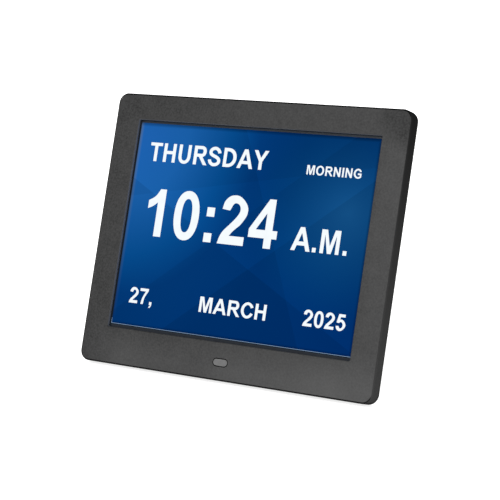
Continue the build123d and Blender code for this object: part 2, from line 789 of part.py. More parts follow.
# Rear cover: flange, plateau, leg recess and every opening of the back
with BuildPart() as rear_cover:
    slab(0, body_centre, body_width, body_height, rim_depth, body_depth, corner_radius)
    fillet(rear_cover.faces().sort_by(depth_axis)[0].edges(), rear_edge_radius)
    with BuildSketch(back(body_depth)) as plateau:
        with Locations((0, plateau_centre)):
            RectangleRounded(plateau_width, plateau_height, plateau_corner)
    extrude(plateau.sketch, amount=rear_depth - body_depth, taper=plateau_draft)
    fillet(rear_cover.faces().sort_by(depth_axis)[0].edges(), plateau_edge_radius)
    root_edges = rear_cover.faces().filter_by(depth_axis).sort_by(depth_axis)[1].inner_wires()[0].edges()
    fillet(root_edges, plateau_root_radius)
    with BuildSketch(back(rim_depth)) as cavity:
        with Locations((0, plateau_centre)):
            RectangleRounded(
                plateau_width - 2 * cover_wall, plateau_height - 2 * cover_wall,
                max(plateau_corner - cover_wall, least_corner),
            )
    extrude(cavity.sketch, amount=back_inner - rim_depth, taper=plateau_draft, mode=Mode.SUBTRACT)

    # Lip that fits inside the bezel's rim
    lip_outer = (inner_width - 2 * lip_clearance, inner_height - 2 * lip_clearance)
    lip_inner = tuple(size - 2 * lip_thickness for size in lip_outer)
    lip_corner = inner_corner - lip_clearance
    hoop(
        lip_outer, lip_inner, body_centre, rim_depth - lip_height, rim_depth,
        lip_corner, max(lip_corner - lip_thickness, least_corner),
    )

    # Recess for the folded leg, deeper round the hinge
    trough_width = recess_width + 2 * cover_wall
    trough_bottom = plateau_bottom + cover_wall / 2
    pocket_bottom = hinge_height - pocket_below_pin
    for low, top, floor in (
        (trough_bottom, recess_top, recess_floor),
        (pocket_bottom - cover_wall, recess_top, pocket_floor),
    ):
        high = top + cover_wall
        slab(0, (low + high) / 2, trough_width, high - low, floor - cover_wall, back_inner)
    for low, floor in ((plateau_bottom - overcut, recess_floor), (pocket_bottom, pocket_floor)):
        slab(
            0, (low + recess_top) / 2, recess_width, recess_top - low,
            floor, rear_depth + overcut, mode=Mode.SUBTRACT,
        )
    hinge_spot = (hinge_height, hinge_depth)
    rod(
        side(-trough_width), -trough_width, trough_width, pin_radius + pin_clearance,
        Mode.SUBTRACT, hinge_spot,
    )

    # Ribs on the recess's inner walls, beside the hinge
    for sign in (-1, 1):
        for step in (-1, 1):
            slab(
                sign * (trough_width / 2 + hinge_rib_width / 2 - weld),
                hinge_height + step * hinge_rib_spacing, hinge_rib_width, web_thickness,
                pocket_floor, back_inner + weld,
            )

    # Rings that hold the speakers, and their slotted grilles
    for spot in speaker_spots.values():
        ring_inner = speaker_radius + speaker_ring_gap
        ring_front = back_inner - speaker_ring_height
        disc([spot], ring_inner + speaker_ring_wall, ring_front, back_inner + weld)
        disc([spot], ring_inner, ring_front, back_inner, Mode.SUBTRACT)
        half = int(grille_radius / grille_pitch)
        for index in range(-half, half + 1):
            length = 2 * sqrt(grille_radius**2 - (index * grille_pitch) ** 2)
            slab(
                spot[0] + index * grille_pitch, spot[1], grille_slot, max(length, 2 * grille_slot),
                back_inner - overcut, rear_depth + overcut, end_rounding * grille_slot, Mode.SUBTRACT,
            )

    # Vent slots between the hinge and the keys
    for index in range(vent_count):
        slab(
            (index - (vent_count - 1) / 2) * vent_pitch, plateau_high - vent_drop,
            vent_slot, vent_length, back_inner - overcut, rear_depth + overcut,
            end_rounding * vent_slot, Mode.SUBTRACT,
        )

    # Shallow panel with a hole for each key, and the posts of the key board behind it
    with BuildSketch(at(rear_depth)) as key_panel:
        with Locations((0, key_row_height)):
            SlotOverall(
                key_spots[-1] - key_spots[0] + 2 * (key_radius + key_panel_margin),
                2 * (key_radius + key_panel_margin),
            )
    extrude(key_panel.sketch, amount=key_panel_depth, mode=Mode.SUBTRACT)
    key_holes = [(spot, key_row_height) for spot in key_spots]
    disc(
        key_holes, key_radius + key_gap,
        back_inner - overcut, rear_depth + overcut, Mode.SUBTRACT,
    )
    disc(key_post_spots, post_radius, key_board_back, back_inner + weld)
    disc(
        key_post_spots, board_screw_radius + pilot_clearance,
        key_board_back, back_inner - overcut, Mode.SUBTRACT,
    )

    # Keyholes for hanging on two screws
    for across in keyhole_spots:
        disc(
            [(across, keyhole_entry_up)], keyhole_entry_radius,
            back_inner - overcut, rear_depth + overcut, Mode.SUBTRACT,
        )
        slab(
            across, keyhole_entry_up + keyhole_rise / 2, keyhole_neck_width, keyhole_rise,
            back_inner - overcut, rear_depth + overcut, mode=Mode.SUBTRACT,
        )
        disc(
            [(across, keyhole_entry_up + keyhole_rise)], keyhole_neck_width / 2,
            back_inner - overcut, rear_depth + overcut, Mode.SUBTRACT,
        )

    # Openings in the left wall for the power plug, the memory stick and the card
    ports_start = board_left + port_reach
    window_length = ports_start + plateau_width / 2 + overcut
    with BuildSketch(side(ports_start)) as ports:
        with Locations((jack_height_up, board_back + jack_bore_rise)):
            Circle(jack_window_radius)
        with Locations((usb_height_up, board_back + usb_height / 2)):
            RectangleRounded(
                usb_width + 2 * usb_window_margin, usb_height + 2 * usb_window_margin, port_corner,
            )
        with Locations((card_height_up, board_back + card_height / 2)):
            RectangleRounded(
                card_slot_width + 2 * usb_window_margin, card_window_height, port_corner,
            )
    extrude(ports.sketch, amount=window_length, mode=Mode.SUBTRACT)

    # Countersunk screw holes over the bezel's bosses
    with Locations(*[back(body_depth) * Pos(across, up, 0) for across, up in boss_spots]):
        CounterSinkHole(
            screw_core_radius + shank_clearance, screw_head_radius + head_clearance,
            depth=flange_thickness, counter_sink_angle=90,
        )
save(rear_cover, "rear_cover")

with BuildPart() as rear_cover_screws:
    head_height = screw_head_radius - screw_core_radius
    head_top = body_depth - head_clearance
    for across, up in boss_spots:
        with BuildSketch(back(head_top)) as head:
            with Locations((across, up)):
                Circle(screw_head_radius)
        extrude(head.sketch, amount=-head_height, taper=45)
        disc(
            [(across, up)], screw_core_radius,
            head_top - screw_length, head_top - head_height + weld,
        )
        for arm in (screw_cross, screw_cross[::-1]):
            slab(across, up, *arm, head_top - screw_slot_depth, head_top, mode=Mode.SUBTRACT)
save(rear_cover_screws, "rear_cover_screws")

# Easel leg: tapered plate, ribbed on the inside, with a knuckle round the pin
heel_swing = leg_back - leg_edge_radius
heel_reach = recess_above_pin - leg_stop_gap - leg_edge_radius - heel_swing * sin(swing)
heel = heel_reach / cos(swing) + leg_edge_radius
foot_top = leg_reach(leg_front) - foot_height
taper_length = foot_top - leg_shoulder


def leg_half_width(down):
    """Half the leg's width at a distance down from the pin."""
    drawn_in = min(max(down - leg_shoulder, 0), taper_length) / taper_length
    return leg_width / 2 - drawn_in * (leg_width - leg_tip_width) / 2


with BuildPart() as stand_leg:
    with BuildSketch(leg_plane.offset(-leg_back)) as outline:
        with BuildLine():
            Polyline(
                (-leg_width / 2, heel),
                (leg_width / 2, heel),
                (leg_width / 2, -leg_shoulder),
                (leg_tip_width / 2, -foot_top),
                (-leg_tip_width / 2, -foot_top),
                (-leg_width / 2, -leg_shoulder),
                close=True,
            )
        make_face()
    extrude(outline.sketch, amount=leg_thickness)
    rear_face = stand_leg.faces().sort_by(Axis((0, 0, 0), tuple(leg_plane.z_dir)))[0]
    rear_edges = rear_face.edges().sort_by(Axis((0, 0, 0), tuple(leg_plane.y_dir)))[1:]
    fillet(rear_edges, leg_edge_radius)
    rod(leg_side(-leg_width / 2), -leg_width / 2, leg_width / 2, knuckle_radius)

    # Pockets between the ribs, in two columns
    pocket_start = knuckle_radius + leg_border
    pocket_length = foot_top - leg_border - pocket_start
    row_pitch = (pocket_length + leg_rib) / leg_rows
    with BuildSketch(leg_plane.offset(-leg_front)) as pockets:
        for row in range(leg_rows):
            high = pocket_start + row * row_pitch
            low = high + row_pitch - leg_rib
            for sign in (-1, 1):
                with BuildLine():
                    Polyline(
                        (sign * leg_rib / 2, -high),
                        (sign * (leg_half_width(high) - leg_border), -high),
                        (sign * (leg_half_width(low) - leg_border), -low),
                        (sign * leg_rib / 2, -low),
                        close=True,
                    )
                make_face()
    extrude(pockets.sketch, amount=-(leg_thickness - leg_skin), mode=Mode.SUBTRACT)
    rod(leg_side(-leg_width), -leg_width, leg_width, pin_radius + pin_clearance, Mode.SUBTRACT)

    # Tongue that carries the rubber foot
    tongue_skin = leg_thickness - 2 * foot_skin
    with BuildSketch(leg_plane.offset(-leg_back + foot_skin)) as tongue:
        with Locations((0, -foot_top - (foot_tongue - weld) / 2)):
            Rectangle(leg_tip_width - 2 * foot_skin, foot_tongue + weld)
    extrude(tongue.sketch, amount=tongue_skin)
save(stand_leg, "stand_leg")

with BuildPart() as stand_foot:
    with BuildSketch(leg_side(leg_tip_width / 2)) as shoe:
        with BuildLine():
            Polyline(
                (-foot_top, leg_front),
                (-foot_top, leg_back),
                (-leg_reach(leg_back), leg_back),
                (-leg_reach(leg_front), leg_front),
                close=True,
            )
        make_face()
    extrude(shoe.sketch, amount=leg_tip_width)
    chamfer(stand_foot.faces().sort_by(Axis.Z)[0].edges(), foot_chamfer)
    with BuildSketch(leg_plane.offset(-leg_back + foot_skin)) as socket:
        with Locations((0, -foot_top - foot_tongue / 2)):
            Rectangle(leg_tip_width - 2 * foot_skin, foot_tongue)
    extrude(socket.sketch, amount=tongue_skin, mode=Mode.SUBTRACT)
save(stand_foot, "stand_foot")

# Hinge pin with a head at one end and a spring clip in a groove at the other
pin_shoulder = trough_width / 2 + pin_side_gap
clip_start = pin_shoulder
clip_end = clip_start + clip_thickness
groove_radius = pin_radius - pin_groove_depth

with BuildPart() as stand_pin:
    pin_left = -pin_shoulder - pin_head_thickness
    rod(side(pin_left), pin_left, -pin_shoulder, pin_head_radius, spot=hinge_spot)
    rod(side(-pin_shoulder), -pin_shoulder, clip_start, pin_radius, spot=hinge_spot)
    rod(side(clip_start), clip_start, clip_end, groove_radius, spot=hinge_spot)
    rod(side(clip_end), clip_end, clip_end + pin_tip, pin_radius, spot=hinge_spot)
save(stand_pin, "stand_pin")

with BuildPart() as stand_pin_clip:
    with BuildSketch(side(clip_end - clip_clearance)) as clip:
        with Locations(hinge_spot):
            Circle(groove_radius + clip_band)
            Circle(groove_radius + clip_clearance, mode=Mode.SUBTRACT)
        with Locations((hinge_height - groove_radius - clip_band / 2, hinge_depth)):
            Rectangle(clip_band + 2 * overcut, clip_opening * groove_radius, mode=Mode.SUBTRACT)
    extrude(clip.sketch, amount=clip_thickness - 2 * clip_clearance)
save(stand_pin_clip, "stand_pin_clip")

with BuildPart() as stand_washers:
    for start in (-recess_width / 2 + washer_gap, leg_width / 2 + washer_gap):
        end = start + washer_thickness
        rod(side(start), start, end, knuckle_radius + washer_extra_radius, spot=hinge_spot)
        rod(side(start), start, end, pin_radius + 2 * pin_clearance, Mode.SUBTRACT, hinge_spot)
save(stand_washers, "stand_washers")

# Keys: a cap, a flange that keeps it in the cover, and a stem over its switch
key_top = rear_depth + key_proud
flange_back = back_inner - key_flange_gap
stem_end = switch_top - switch_well_depth + key_travel + key_stem_gap

for name, spot in zip(key_names, key_spots):
    with BuildPart() as key:
        place = [(spot, key_row_height)]
        disc(place, key_radius, flange_back - key_flange_thickness, key_top)
        fillet(key.faces().sort_by(depth_axis)[0].edges(), key_dish_depth)
        disc(place, key_radius + key_flange, flange_back - key_flange_thickness, flange_back)
        disc(place, key_stem_radius, stem_end, flange_back)
    save(key, f"{name}_key")

# The key board reaches its cable's connector, however far to the side this stands
key_plug_start = key_board_bottom + connector_setback
key_board_end = key_post_spots[1][0] + post_radius + key_board_margin
key_plug_end = key_cable_across - key_cable_width / 2 - connector_margin - connector_setback
key_board_start = min(-key_board_end, key_plug_end)
with BuildPart() as key_board:
    slab(
        (key_board_start + key_board_end) / 2, key_row_height, key_board_end - key_board_start,
        key_board_height, key_board_depth, key_board_back, board_corner,
    )
    disc(
        key_post_spots, board_screw_radius + board_hole_clearance,
        key_board_depth, key_board_back, Mode.SUBTRACT,
    )
    plug(
        key_cable_across, key_plug_start + connector_length / 2, key_cable_width,
        key_board_depth - connector_height,
    )
save(key_board, "key_board")

with BuildPart() as key_switches:
    for spot in key_spots:
        slab(
            spot, key_row_height, switch_size, switch_size,
            key_board_back, switch_top, chip_corner,
        )
        disc(
            [(spot, key_row_height)], key_stem_radius + switch_well_gap,
            switch_top - switch_well_depth, switch_top, Mode.SUBTRACT,
        )
save(key_switches, "key_switches")

with BuildPart() as key_board_screws:
    disc(key_post_spots, board_screw_head, key_board_depth - board_screw_head_height, key_board_depth)
    disc(key_post_spots, board_screw_radius, key_board_depth, key_board_back + key_board_grip)
save(key_board_screws, "key_board_screws")

# Main board on standoffs that are riveted to the panel's tray
board_screw_spots = [on_board(spot) for spot in board_screws_in]

with BuildPart() as main_board:
    slab(
        board_centre_across, board_centre_up, board_width, board_height,
        board_depth, board_back, board_corner,
    )
    disc(
        board_screw_spots, board_screw_radius + board_hole_clearance,
        board_depth, board_back, Mode.SUBTRACT,
    )
save(main_board, "main_board")

with BuildPart() as main_board_standoffs:
    disc(board_screw_spots, standoff_radius, panel_back, board_depth)
    disc(
        board_screw_spots, board_screw_radius + pilot_clearance,
        panel_back, board_depth, Mode.SUBTRACT,
    )
save(main_board_standoffs, "main_board_standoffs")

with BuildPart() as main_board_screws:
    disc(board_screw_spots, board_screw_radius, board_depth - standoff_screw_length, board_back)
    head_back = board_back + board_screw_head_height
    disc(board_screw_spots, board_screw_head, board_back, head_back)
    for spot in board_screw_spots:
        for arm in (board_screw_cross, board_screw_cross[::-1]):
            slab(*spot, *arm, head_back - screw_slot_depth, head_back, mode=Mode.SUBTRACT)
save(main_board_screws, "main_board_screws")

# Electronic parts on the board's back
with BuildPart() as main_processor:
    chip(on_board(processor_in), board_back, chip_corner)
save(main_processor, "main_processor")

with BuildPart() as memory_chips:
    for place in memory_in:
        chip(on_board(place), board_back)
save(memory_chips, "memory_chips")

with BuildPart() as clock_crystal:
    chip(on_board(crystal_in), board_back, end_rounding * crystal_in[2])
save(clock_crystal, "clock_crystal")

with BuildPart() as capacitors:
    for spot in capacitors_in:
        disc([on_board(spot)], capacitor_radius, board_back, board_back + capacitor_height)
save(capacitors, "capacitors")

panel_plug_up = board_bottom + connector_length / 2 + connector_setback
key_plug_up = board_bottom + board_height - connector_length / 2 - connector_setback
with BuildPart() as board_connectors:
    plug(panel_cable_across, panel_plug_up, panel_cable_width, board_back)
    plug(key_cable_across, key_plug_up, key_cable_width, board_back)
    chip(on_board(speaker_plug_in), board_back)
    slab(
        flex_end - ir_flex_width / 2, ir_flex_top - ir_flex_width / 2, ir_flex_width,
        ir_flex_width + connector_margin, board_depth - ir_connector_height, board_depth,
    )
save(board_connectors, "board_connectors")

cell_spot = on_board(cell_in)
cell_back = board_back + holder_floor + cell_thickness
with BuildPart() as coin_cell_holder:
    slab(*cell_spot, holder_size, holder_size, board_back, cell_back + holder_rim, holder_corner)
    disc(
        [cell_spot], cell_radius + cell_gap, board_back + holder_floor, cell_back + holder_rim,
        Mode.SUBTRACT,
    )
save(coin_cell_holder, "coin_cell_holder")

with BuildPart() as coin_cell:
    disc([cell_spot], cell_radius, board_back + holder_floor, cell_back)
save(coin_cell, "coin_cell")

# Sockets, with their mouths on the board's left edge
with BuildPart() as sd_socket:
    card_centre = board_left + card_length / 2
    slab(card_centre, card_height_up, card_length, card_width, board_back, board_back + card_height)
    slab(
        card_centre - card_shell, card_height_up, card_length, card_slot_width,
        board_back + card_shell, board_back + card_height - card_shell, mode=Mode.SUBTRACT,
    )
save(sd_socket, "sd_socket")

with BuildPart() as usb_socket:
    usb_centre = board_left + usb_length / 2
    usb_back = board_back + usb_height
    slab(usb_centre, usb_height_up, usb_length, usb_width, board_back, usb_back)
    slab(
        usb_centre - usb_shell, usb_height_up, usb_length, usb_width - 2 * usb_shell,
        board_back + usb_shell, usb_back - usb_shell, mode=Mode.SUBTRACT,
    )
save(usb_socket, "usb_socket")

with BuildPart() as usb_tongue:
    tongue_length = usb_length - usb_shell - usb_tongue_setback
    tongue_front = board_back + usb_shell + usb_tongue_gap
    slab(
        board_left + usb_tongue_setback + tongue_length / 2, usb_height_up,
        tongue_length, usb_tongue_width, tongue_front, tongue_front + usb_tongue_thickness,
    )
save(usb_tongue, "usb_tongue")

jack_spot = (jack_height_up, board_back + jack_bore_rise)
bore_end = board_left + jack_bore_depth
with BuildPart() as dc_jack:
    slab(
        board_left + jack_length / 2, jack_height_up, jack_length, jack_width,
        board_back, board_back + jack_height,
    )
    rod(side(board_left), board_left, bore_end, jack_bore_radius, Mode.SUBTRACT, jack_spot)
save(dc_jack, "dc_jack")

with BuildPart() as dc_jack_pin:
    pin_start = bore_end - jack_pin_base - jack_pin_length
    base_start = bore_end - jack_pin_base
    rod(side(base_start), base_start, bore_end, jack_pin_base_radius, spot=jack_spot)
    rod(side(pin_start), pin_start, base_start, jack_pin_radius, spot=jack_spot)
save(dc_jack_pin, "dc_jack_pin")

# Speakers that fire through the grilles: basket, cone and magnet
basket_front = back_inner - speaker_flange - basket_depth
for hand, spot in speaker_spots.items():
    with BuildPart() as speaker_frame:
        disc([spot], speaker_radius, back_inner - speaker_flange, back_inner)
        disc([spot], basket_radius, basket_front, back_inner - speaker_flange)
        disc([spot], basket_radius - basket_wall, basket_front + basket_wall, back_inner, Mode.SUBTRACT)
    save(speaker_frame, f"{hand}_speaker_frame")

    with BuildPart() as speaker_cone:
        rim_radius = basket_radius - basket_wall - cone_gap
        throat = basket_front + basket_wall
        mouth = back_inner - speaker_flange
        across, up = spot
        axis_point = point(across, up, throat)
        with BuildSketch(Plane(origin=axis_point, x_dir=(1, 0, 0), z_dir=upward)) as profile:
            with BuildLine():
                Polyline(
                    (0, 0),
                    (cone_throat_radius, 0),
                    (rim_radius, mouth - throat - cone_thickness),
                    (rim_radius, mouth - throat),
                    (cone_throat_radius, cone_thickness + cone_cap_edge),
                    (0, cone_thickness + cone_cap_rise),
                    close=True,
                )
            make_face()
        revolve(profile.sketch, axis=Axis(axis_point, tuple(back(0).z_dir)))
    save(speaker_cone, f"{hand}_speaker_cone")

    with BuildPart() as speaker_magnet:
        disc([spot], magnet_radius, basket_front - magnet_height, basket_front)
    save(speaker_magnet, f"{hand}_speaker_magnet")

# Flat cables and speaker wires inside the housing
high_level = board_back + connector_height / 2
with BuildPart() as panel_cable:
    low_level = driver_back + connector_height / 2
    start = driver_plug_up + connector_length / 2
    end = panel_plug_up - connector_length / 2
    stops = [
        (start, low_level),
        (start + panel_cable_level * (end - start), low_level),
        (end - panel_cable_level * (end - start), high_level),
        (end, high_level),
    ]
    ribbon(panel_cable_across, stops, cable_bend, panel_cable_width, cable_thickness)
save(panel_cable, "panel_cable")

with BuildPart() as key_cable:
    low_level = key_board_depth - connector_height / 2
    start = key_plug_start
    end = key_plug_up + connector_length / 2
    stops = [
        (start, low_level),
        (start + key_cable_level * (end - start), low_level),
        (end - key_cable_level * (end - start), high_level),
        (end, high_level),
    ]
    ribbon(key_cable_across, stops, cable_bend, key_cable_width, cable_thickness)
save(key_cable, "key_cable")

wire_start = speaker_across - magnet_radius - wire_gap
wire_depth = basket_front - magnet_height / 2
plug_across, plug_up, plug_width, plug_height, plug_thickness = on_board(speaker_plug_in)
wire_end = plug_across + plug_width / 2 + wire_gap
wire_end_depth = board_back + plug_thickness / 2
for hand, sign in (("left", -1), ("right", 1)):
    wire_up = plug_up + sign * plug_height / 4
    stops = [
        (sign * wire_start, speaker_up, wire_depth),
        (sign * (wire_start - wire_leads[hand]), speaker_up, wire_depth),
    ]
    for across, up, behind in wire_stops[hand]:
        stops.append((board_right + across, board_bottom + up, board_back + behind))
    stops.append((board_right + wire_turns[hand], wire_up, wire_end_depth))
    stops.append((wire_end, wire_up, wire_end_depth))
    with BuildPart() as speaker_wire:
        wire(stops, wire_bend, wire_radius)
    save(speaker_wire, f"{hand}_speaker_wire")
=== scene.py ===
import json
from math import cos, radians, sin, sqrt

import bpy
from mathutils import Matrix, Vector
from mathutils.geometry import interpolate_bezier, tessellate_polygon

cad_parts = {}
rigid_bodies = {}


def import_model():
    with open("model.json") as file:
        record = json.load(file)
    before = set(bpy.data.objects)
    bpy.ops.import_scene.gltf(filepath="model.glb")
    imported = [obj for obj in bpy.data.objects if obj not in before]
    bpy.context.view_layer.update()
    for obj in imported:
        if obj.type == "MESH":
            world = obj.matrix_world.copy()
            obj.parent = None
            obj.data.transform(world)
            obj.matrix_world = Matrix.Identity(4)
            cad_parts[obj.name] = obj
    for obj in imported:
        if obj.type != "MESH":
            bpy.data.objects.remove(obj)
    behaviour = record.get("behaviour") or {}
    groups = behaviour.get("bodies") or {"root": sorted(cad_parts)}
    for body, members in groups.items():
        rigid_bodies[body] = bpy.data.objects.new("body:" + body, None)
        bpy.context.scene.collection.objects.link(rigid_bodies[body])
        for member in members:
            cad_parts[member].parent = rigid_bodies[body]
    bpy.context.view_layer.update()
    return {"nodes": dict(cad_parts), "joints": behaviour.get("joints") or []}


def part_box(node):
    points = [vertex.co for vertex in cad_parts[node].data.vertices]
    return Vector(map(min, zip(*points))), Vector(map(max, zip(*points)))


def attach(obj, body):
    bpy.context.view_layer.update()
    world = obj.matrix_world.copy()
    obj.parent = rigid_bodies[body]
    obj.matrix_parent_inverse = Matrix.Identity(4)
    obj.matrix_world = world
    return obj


# Looks of a table calendar clock built like an 8 inch photo frame.
# Places on the housing are given in millimetres: across the face from its middle, up the
# leaning face from its lower edge, and in depth behind the face.

for leftover in list(bpy.data.objects):
    bpy.data.objects.remove(leftover)
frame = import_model()

MM = 0.001
HINGE_HEIGHT = 96.0
HINGE_DEPTH = 18.0
BODY_WIDTH = 197.0
BODY_HEIGHT = 163.0
BODY_DEPTH = 8.7             # of the housing's thin edge
PICTURE_WIDTH = 162.0
PICTURE_HEIGHT = 121.5
PICTURE_CORNER = 0.5
PICTURE_CENTRE = 85.15       # height of the picture's middle
PICTURE_ACROSS = 0.4         # the panel sits this far right of the middle
READOUT_DEPTH = 2.24
PICTURE_DEPTH = 2.26
BORDER_DEPTH = 2.28
KEY_TOP = 23.8               # depth of the rear keys' outer faces
KEY_HEIGHT = 137.0           # height of their row
FILM = 0.01                  # thickness of a lit or printed layer

joints = {joint["name"]: joint for joint in frame["joints"]}
OUT = Vector(joints["menu_press"]["axis"]).normalized()
UP = Vector((0, OUT.z, -OUT.y))
ACROSS = Vector((1, 0, 0))
hinge = Vector(joints["stand_fold"]["pos_m"])
FACE = hinge - UP * HINGE_HEIGHT * MM + OUT * HINGE_DEPTH * MM


def plane(x_axis, y_axis, across, up, depth):
    """Frame at a place on the housing, with these axes."""
    place = FACE + (ACROSS * across + UP * up - OUT * depth) * MM
    turn = Matrix((x_axis, y_axis, x_axis.cross(y_axis))).transposed()
    return Matrix.Translation(place) @ turn.to_4x4()


def front(across, up, depth):
    """Frame that looks out of the face: x is across and y is up."""
    return plane(ACROSS, UP, across, up, depth)


def rear(across, up, depth):
    """Frame that looks out of the back: x runs the other way and y is up."""
    return plane(-ACROSS, UP, across, up, depth)


def add_object(name, data):
    """New object of the scene with this mesh, light or camera."""
    added = bpy.data.objects.new(name, data)
    bpy.context.scene.collection.objects.link(added)
    return added


# Materials
NOISE_SPAN = (0.3, 0.7)      # most values of a noise lie between these
FLECK_SPAN = (0.32, 0.68)    # flecks reach their full light and dark at these
FINE = 4.0                   # detail of the finest noises
ROUGHNESS_SWING = 0.06
GRAIN_STRENGTH = 0.8
FLECK_SIZE = 2.4             # of a moulding, in sizes of its grain


def tone(red, green=None, blue=None):
    """Linear colour of a screen colour in 0 to 255. One number makes a grey."""
    levels = (red, red, red) if green is None else (red, green, blue)
    shares = [level / 255 for level in levels]
    return (*[
        ((share + 0.055) / 1.055) ** 2.4 if share > 0.04045 else share / 12.92 for share in shares
    ], 1.0)


class Finish:
    """A Principled material with short ways to add nodes to it."""

    def __init__(self, name, roughness, metallic=0.0, specular=0.5):
        self.material = bpy.data.materials.new(name)
        self.material.use_nodes = True
        self.tree = self.material.node_tree
        self.shader = self.tree.nodes["Principled BSDF"]
        self.set("Roughness", roughness)
        self.set("Metallic", metallic)
        self.set("Specular IOR Level", specular)
        self.coords = self.add("TexCoord").outputs["Object"]

    def set(self, name, value):
        """Gives one of the shader's sockets a value, or links an output to it."""
        self.feed(self.shader.inputs[name], value)

    def feed(self, socket, value):
        """Gives a socket of any node a value, or links an output to it."""
        if isinstance(value, bpy.types.NodeSocket):
            self.tree.links.new(value, socket)
        else:
            socket.default_value = value

    def add(self, kind, *values, **settings):
        """A node with these settings and these values on its first sockets."""
        node = self.tree.nodes.new("ShaderNode" + kind)
        for name, value in settings.items():
            setattr(node, name, value)
        for socket, value in zip(node.inputs, values):
            self.feed(socket, value)
        return node

    def math(self, operation, first, second=0.0):
        """Result of an operation on one or two numbers."""
        return self.add("Math", first, second, operation=operation).outputs[0]

    def dot(self, vector, direction):
        """Length of a vector along a direction."""
        node = self.add("VectorMath", vector, Vector(direction), operation="DOT_PRODUCT")
        return node.outputs["Value"]

    def along(self, direction, start=0.0):
        """Distance from a plane, in metres, along a direction."""
        return self.math("SUBTRACT", self.dot(self.coords, direction), start)

    def distance(self, coords, point):
        """Distance of coordinates from a point, in metres."""
        return self.add("VectorMath", coords, point, operation="DISTANCE").outputs["Value"]

    def stretched(self, factors):
        """The object's coordinates, each times its factor."""
        node = self.add("VectorMath", self.coords, Vector(factors), operation="MULTIPLY")
        return node.outputs[0]

    def spread(self, value, low, high, start=0.0, end=1.0):
        """The value moved from the span low to high onto start to end, and held inside it."""
        return self.add("MapRange", value, low, high, start, end).outputs[0]

    def fade(self, length, low, high, start=0.0, end=1.0):
        """The same for a length in metres, with low and high in millimetres."""
        return self.spread(length, low * MM, high * MM, start, end)

    def noise(self, size, detail=2.0, stretch=(1.0, 1.0, 1.0)):
        """Noise with features of about this size in millimetres."""
        node = self.add("TexNoise")
        self.feed(node.inputs["Vector"], self.stretched(stretch))
        node.inputs["Scale"].default_value = 1 / (size * MM)
        node.inputs["Detail"].default_value = detail
        return node.outputs["Fac"]

    def grains(self, size, detail=2.0, start=0.0, end=1.0):
        """The same noise, moved onto start to end."""
        return self.spread(self.noise(size, detail), *NOISE_SPAN, start, end)

    def mix(self, share, first, second):
        """Colour between two others."""
        node = self.add("Mix", data_type="RGBA")
        for name, value in (("Factor_Float", share), ("A_Color", first), ("B_Color", second)):
            socket = next(each for each in node.inputs if each.identifier == name)
            self.feed(socket, value)
        return next(each for each in node.outputs if each.identifier == "Result_Color")

    def ramp(self, value, stops):
        """Colour along a value between 0 and 1, from its stops (share, colour)."""
        node = self.add("ValToRGB", value)
        elements = node.color_ramp.elements
        while len(elements) < len(stops):
            elements.new(0.5)
        for element, (share, colour) in zip(elements, stops):
            element.position = share
            element.color = colour
        return node.outputs["Color"]

    def paint(self, colour):
        """Gives the surface its own colour."""
        self.set("Base Color", colour)

    def glow(self, colour, strength=1.0):
        """Lets the surface give off light."""
        self.set("Emission Color", colour)
        self.set("Emission Strength", strength)

    def facing(self, direction, low, high):
        """Share by which the surface faces a direction, from 0 at low to 1 at high."""
        normal = self.add("NewGeometry").outputs["Normal"]
        return self.spread(self.dot(normal, direction), low, high)

    def bump(self, height, distance, strength):
        """Relief of this height in millimetres, at a share of its strength."""
        node = self.add("Bump")
        node.inputs["Strength"].default_value = strength
        node.inputs["Distance"].default_value = distance * MM
        self.feed(node.inputs["Height"], height)
        self.set("Normal", node.outputs["Normal"])

    def mottle(self, colour, amount, size, detail=3.0):
        """The colour with lighter and darker flecks, by a share of itself."""
        share = self.spread(self.noise(size, detail), *FLECK_SPAN)
        dark = (*[level * (1 - amount) for level in colour[:3]], 1.0)
        light = (*[level * (1 + amount) for level in colour[:3]], 1.0)
        return self.mix(share, dark, light)

    def roughen(self, roughness, grain):
        """Roughness that swings with the grain."""
        low, high = roughness - ROUGHNESS_SWING, roughness + ROUGHNESS_SWING
        self.set("Roughness", self.grains(grain, start=low, end=high))

    def emboss(self, grain, relief):
        """Fine moulded grain of this size and height in millimetres."""
        self.bump(self.noise(grain, FINE), relief, GRAIN_STRENGTH)


def moulded(name, colour, roughness, grain, relief, specular=0.35, flecks=0.08):
    """Moulded plastic with a fine spark-eroded grain."""
    made = Finish(name, roughness, specular=specular)
    made.paint(made.mottle(colour, flecks, FLECK_SIZE * grain))
    made.roughen(roughness, grain)
    made.emboss(grain, relief)
    return made.material


def housing_places(made):
    """Depth behind the face, in metres, and the share of the height up the face."""
    depth = made.along(-OUT, -FACE.dot(OUT))
    height = made.fade(made.along(UP, FACE.dot(UP)), 0.0, BODY_HEIGHT)
    return depth, height


BEZEL_GLOSS = 0.22
FLECK_LIGHT = tone(120)
TURNED = (0.2, 0.7)          # a round surface turns to a side, as facing measures it
LOWER_STRIP = (0.04, 0.17)   # shares of the height over which the lower strip's painted light ends
# Depths in millimetres over which the bezel's zones end
GRAIN_END = (0.0, 0.012)     # the face's grain
ROUND_END = (0.9, 1.1)       # the round edge, where the straight side begins
BEVEL_END = (0.35, 0.45)     # the opening's bevel, where its wall begins
WALL_FADE = (0.5, 1.3)       # the painted light on that wall
# Distances in millimetres over which they end
CORNER_SHADE_FADE = (15, 26)       # the painted shade, from an upper corner
AROUND_SIDES = (3, 2)        # the opening, past the picture's sides
AROUND_ENDS = (5, 4)         # the opening, past the picture's top and foot
SOFT_SIDE = (1.4, 1.1)       # the full weight of depth in the grain's end, from the right side
SOFT_WEIGHT = 0.07           # its weight beyond, with which the grain runs over the round edge


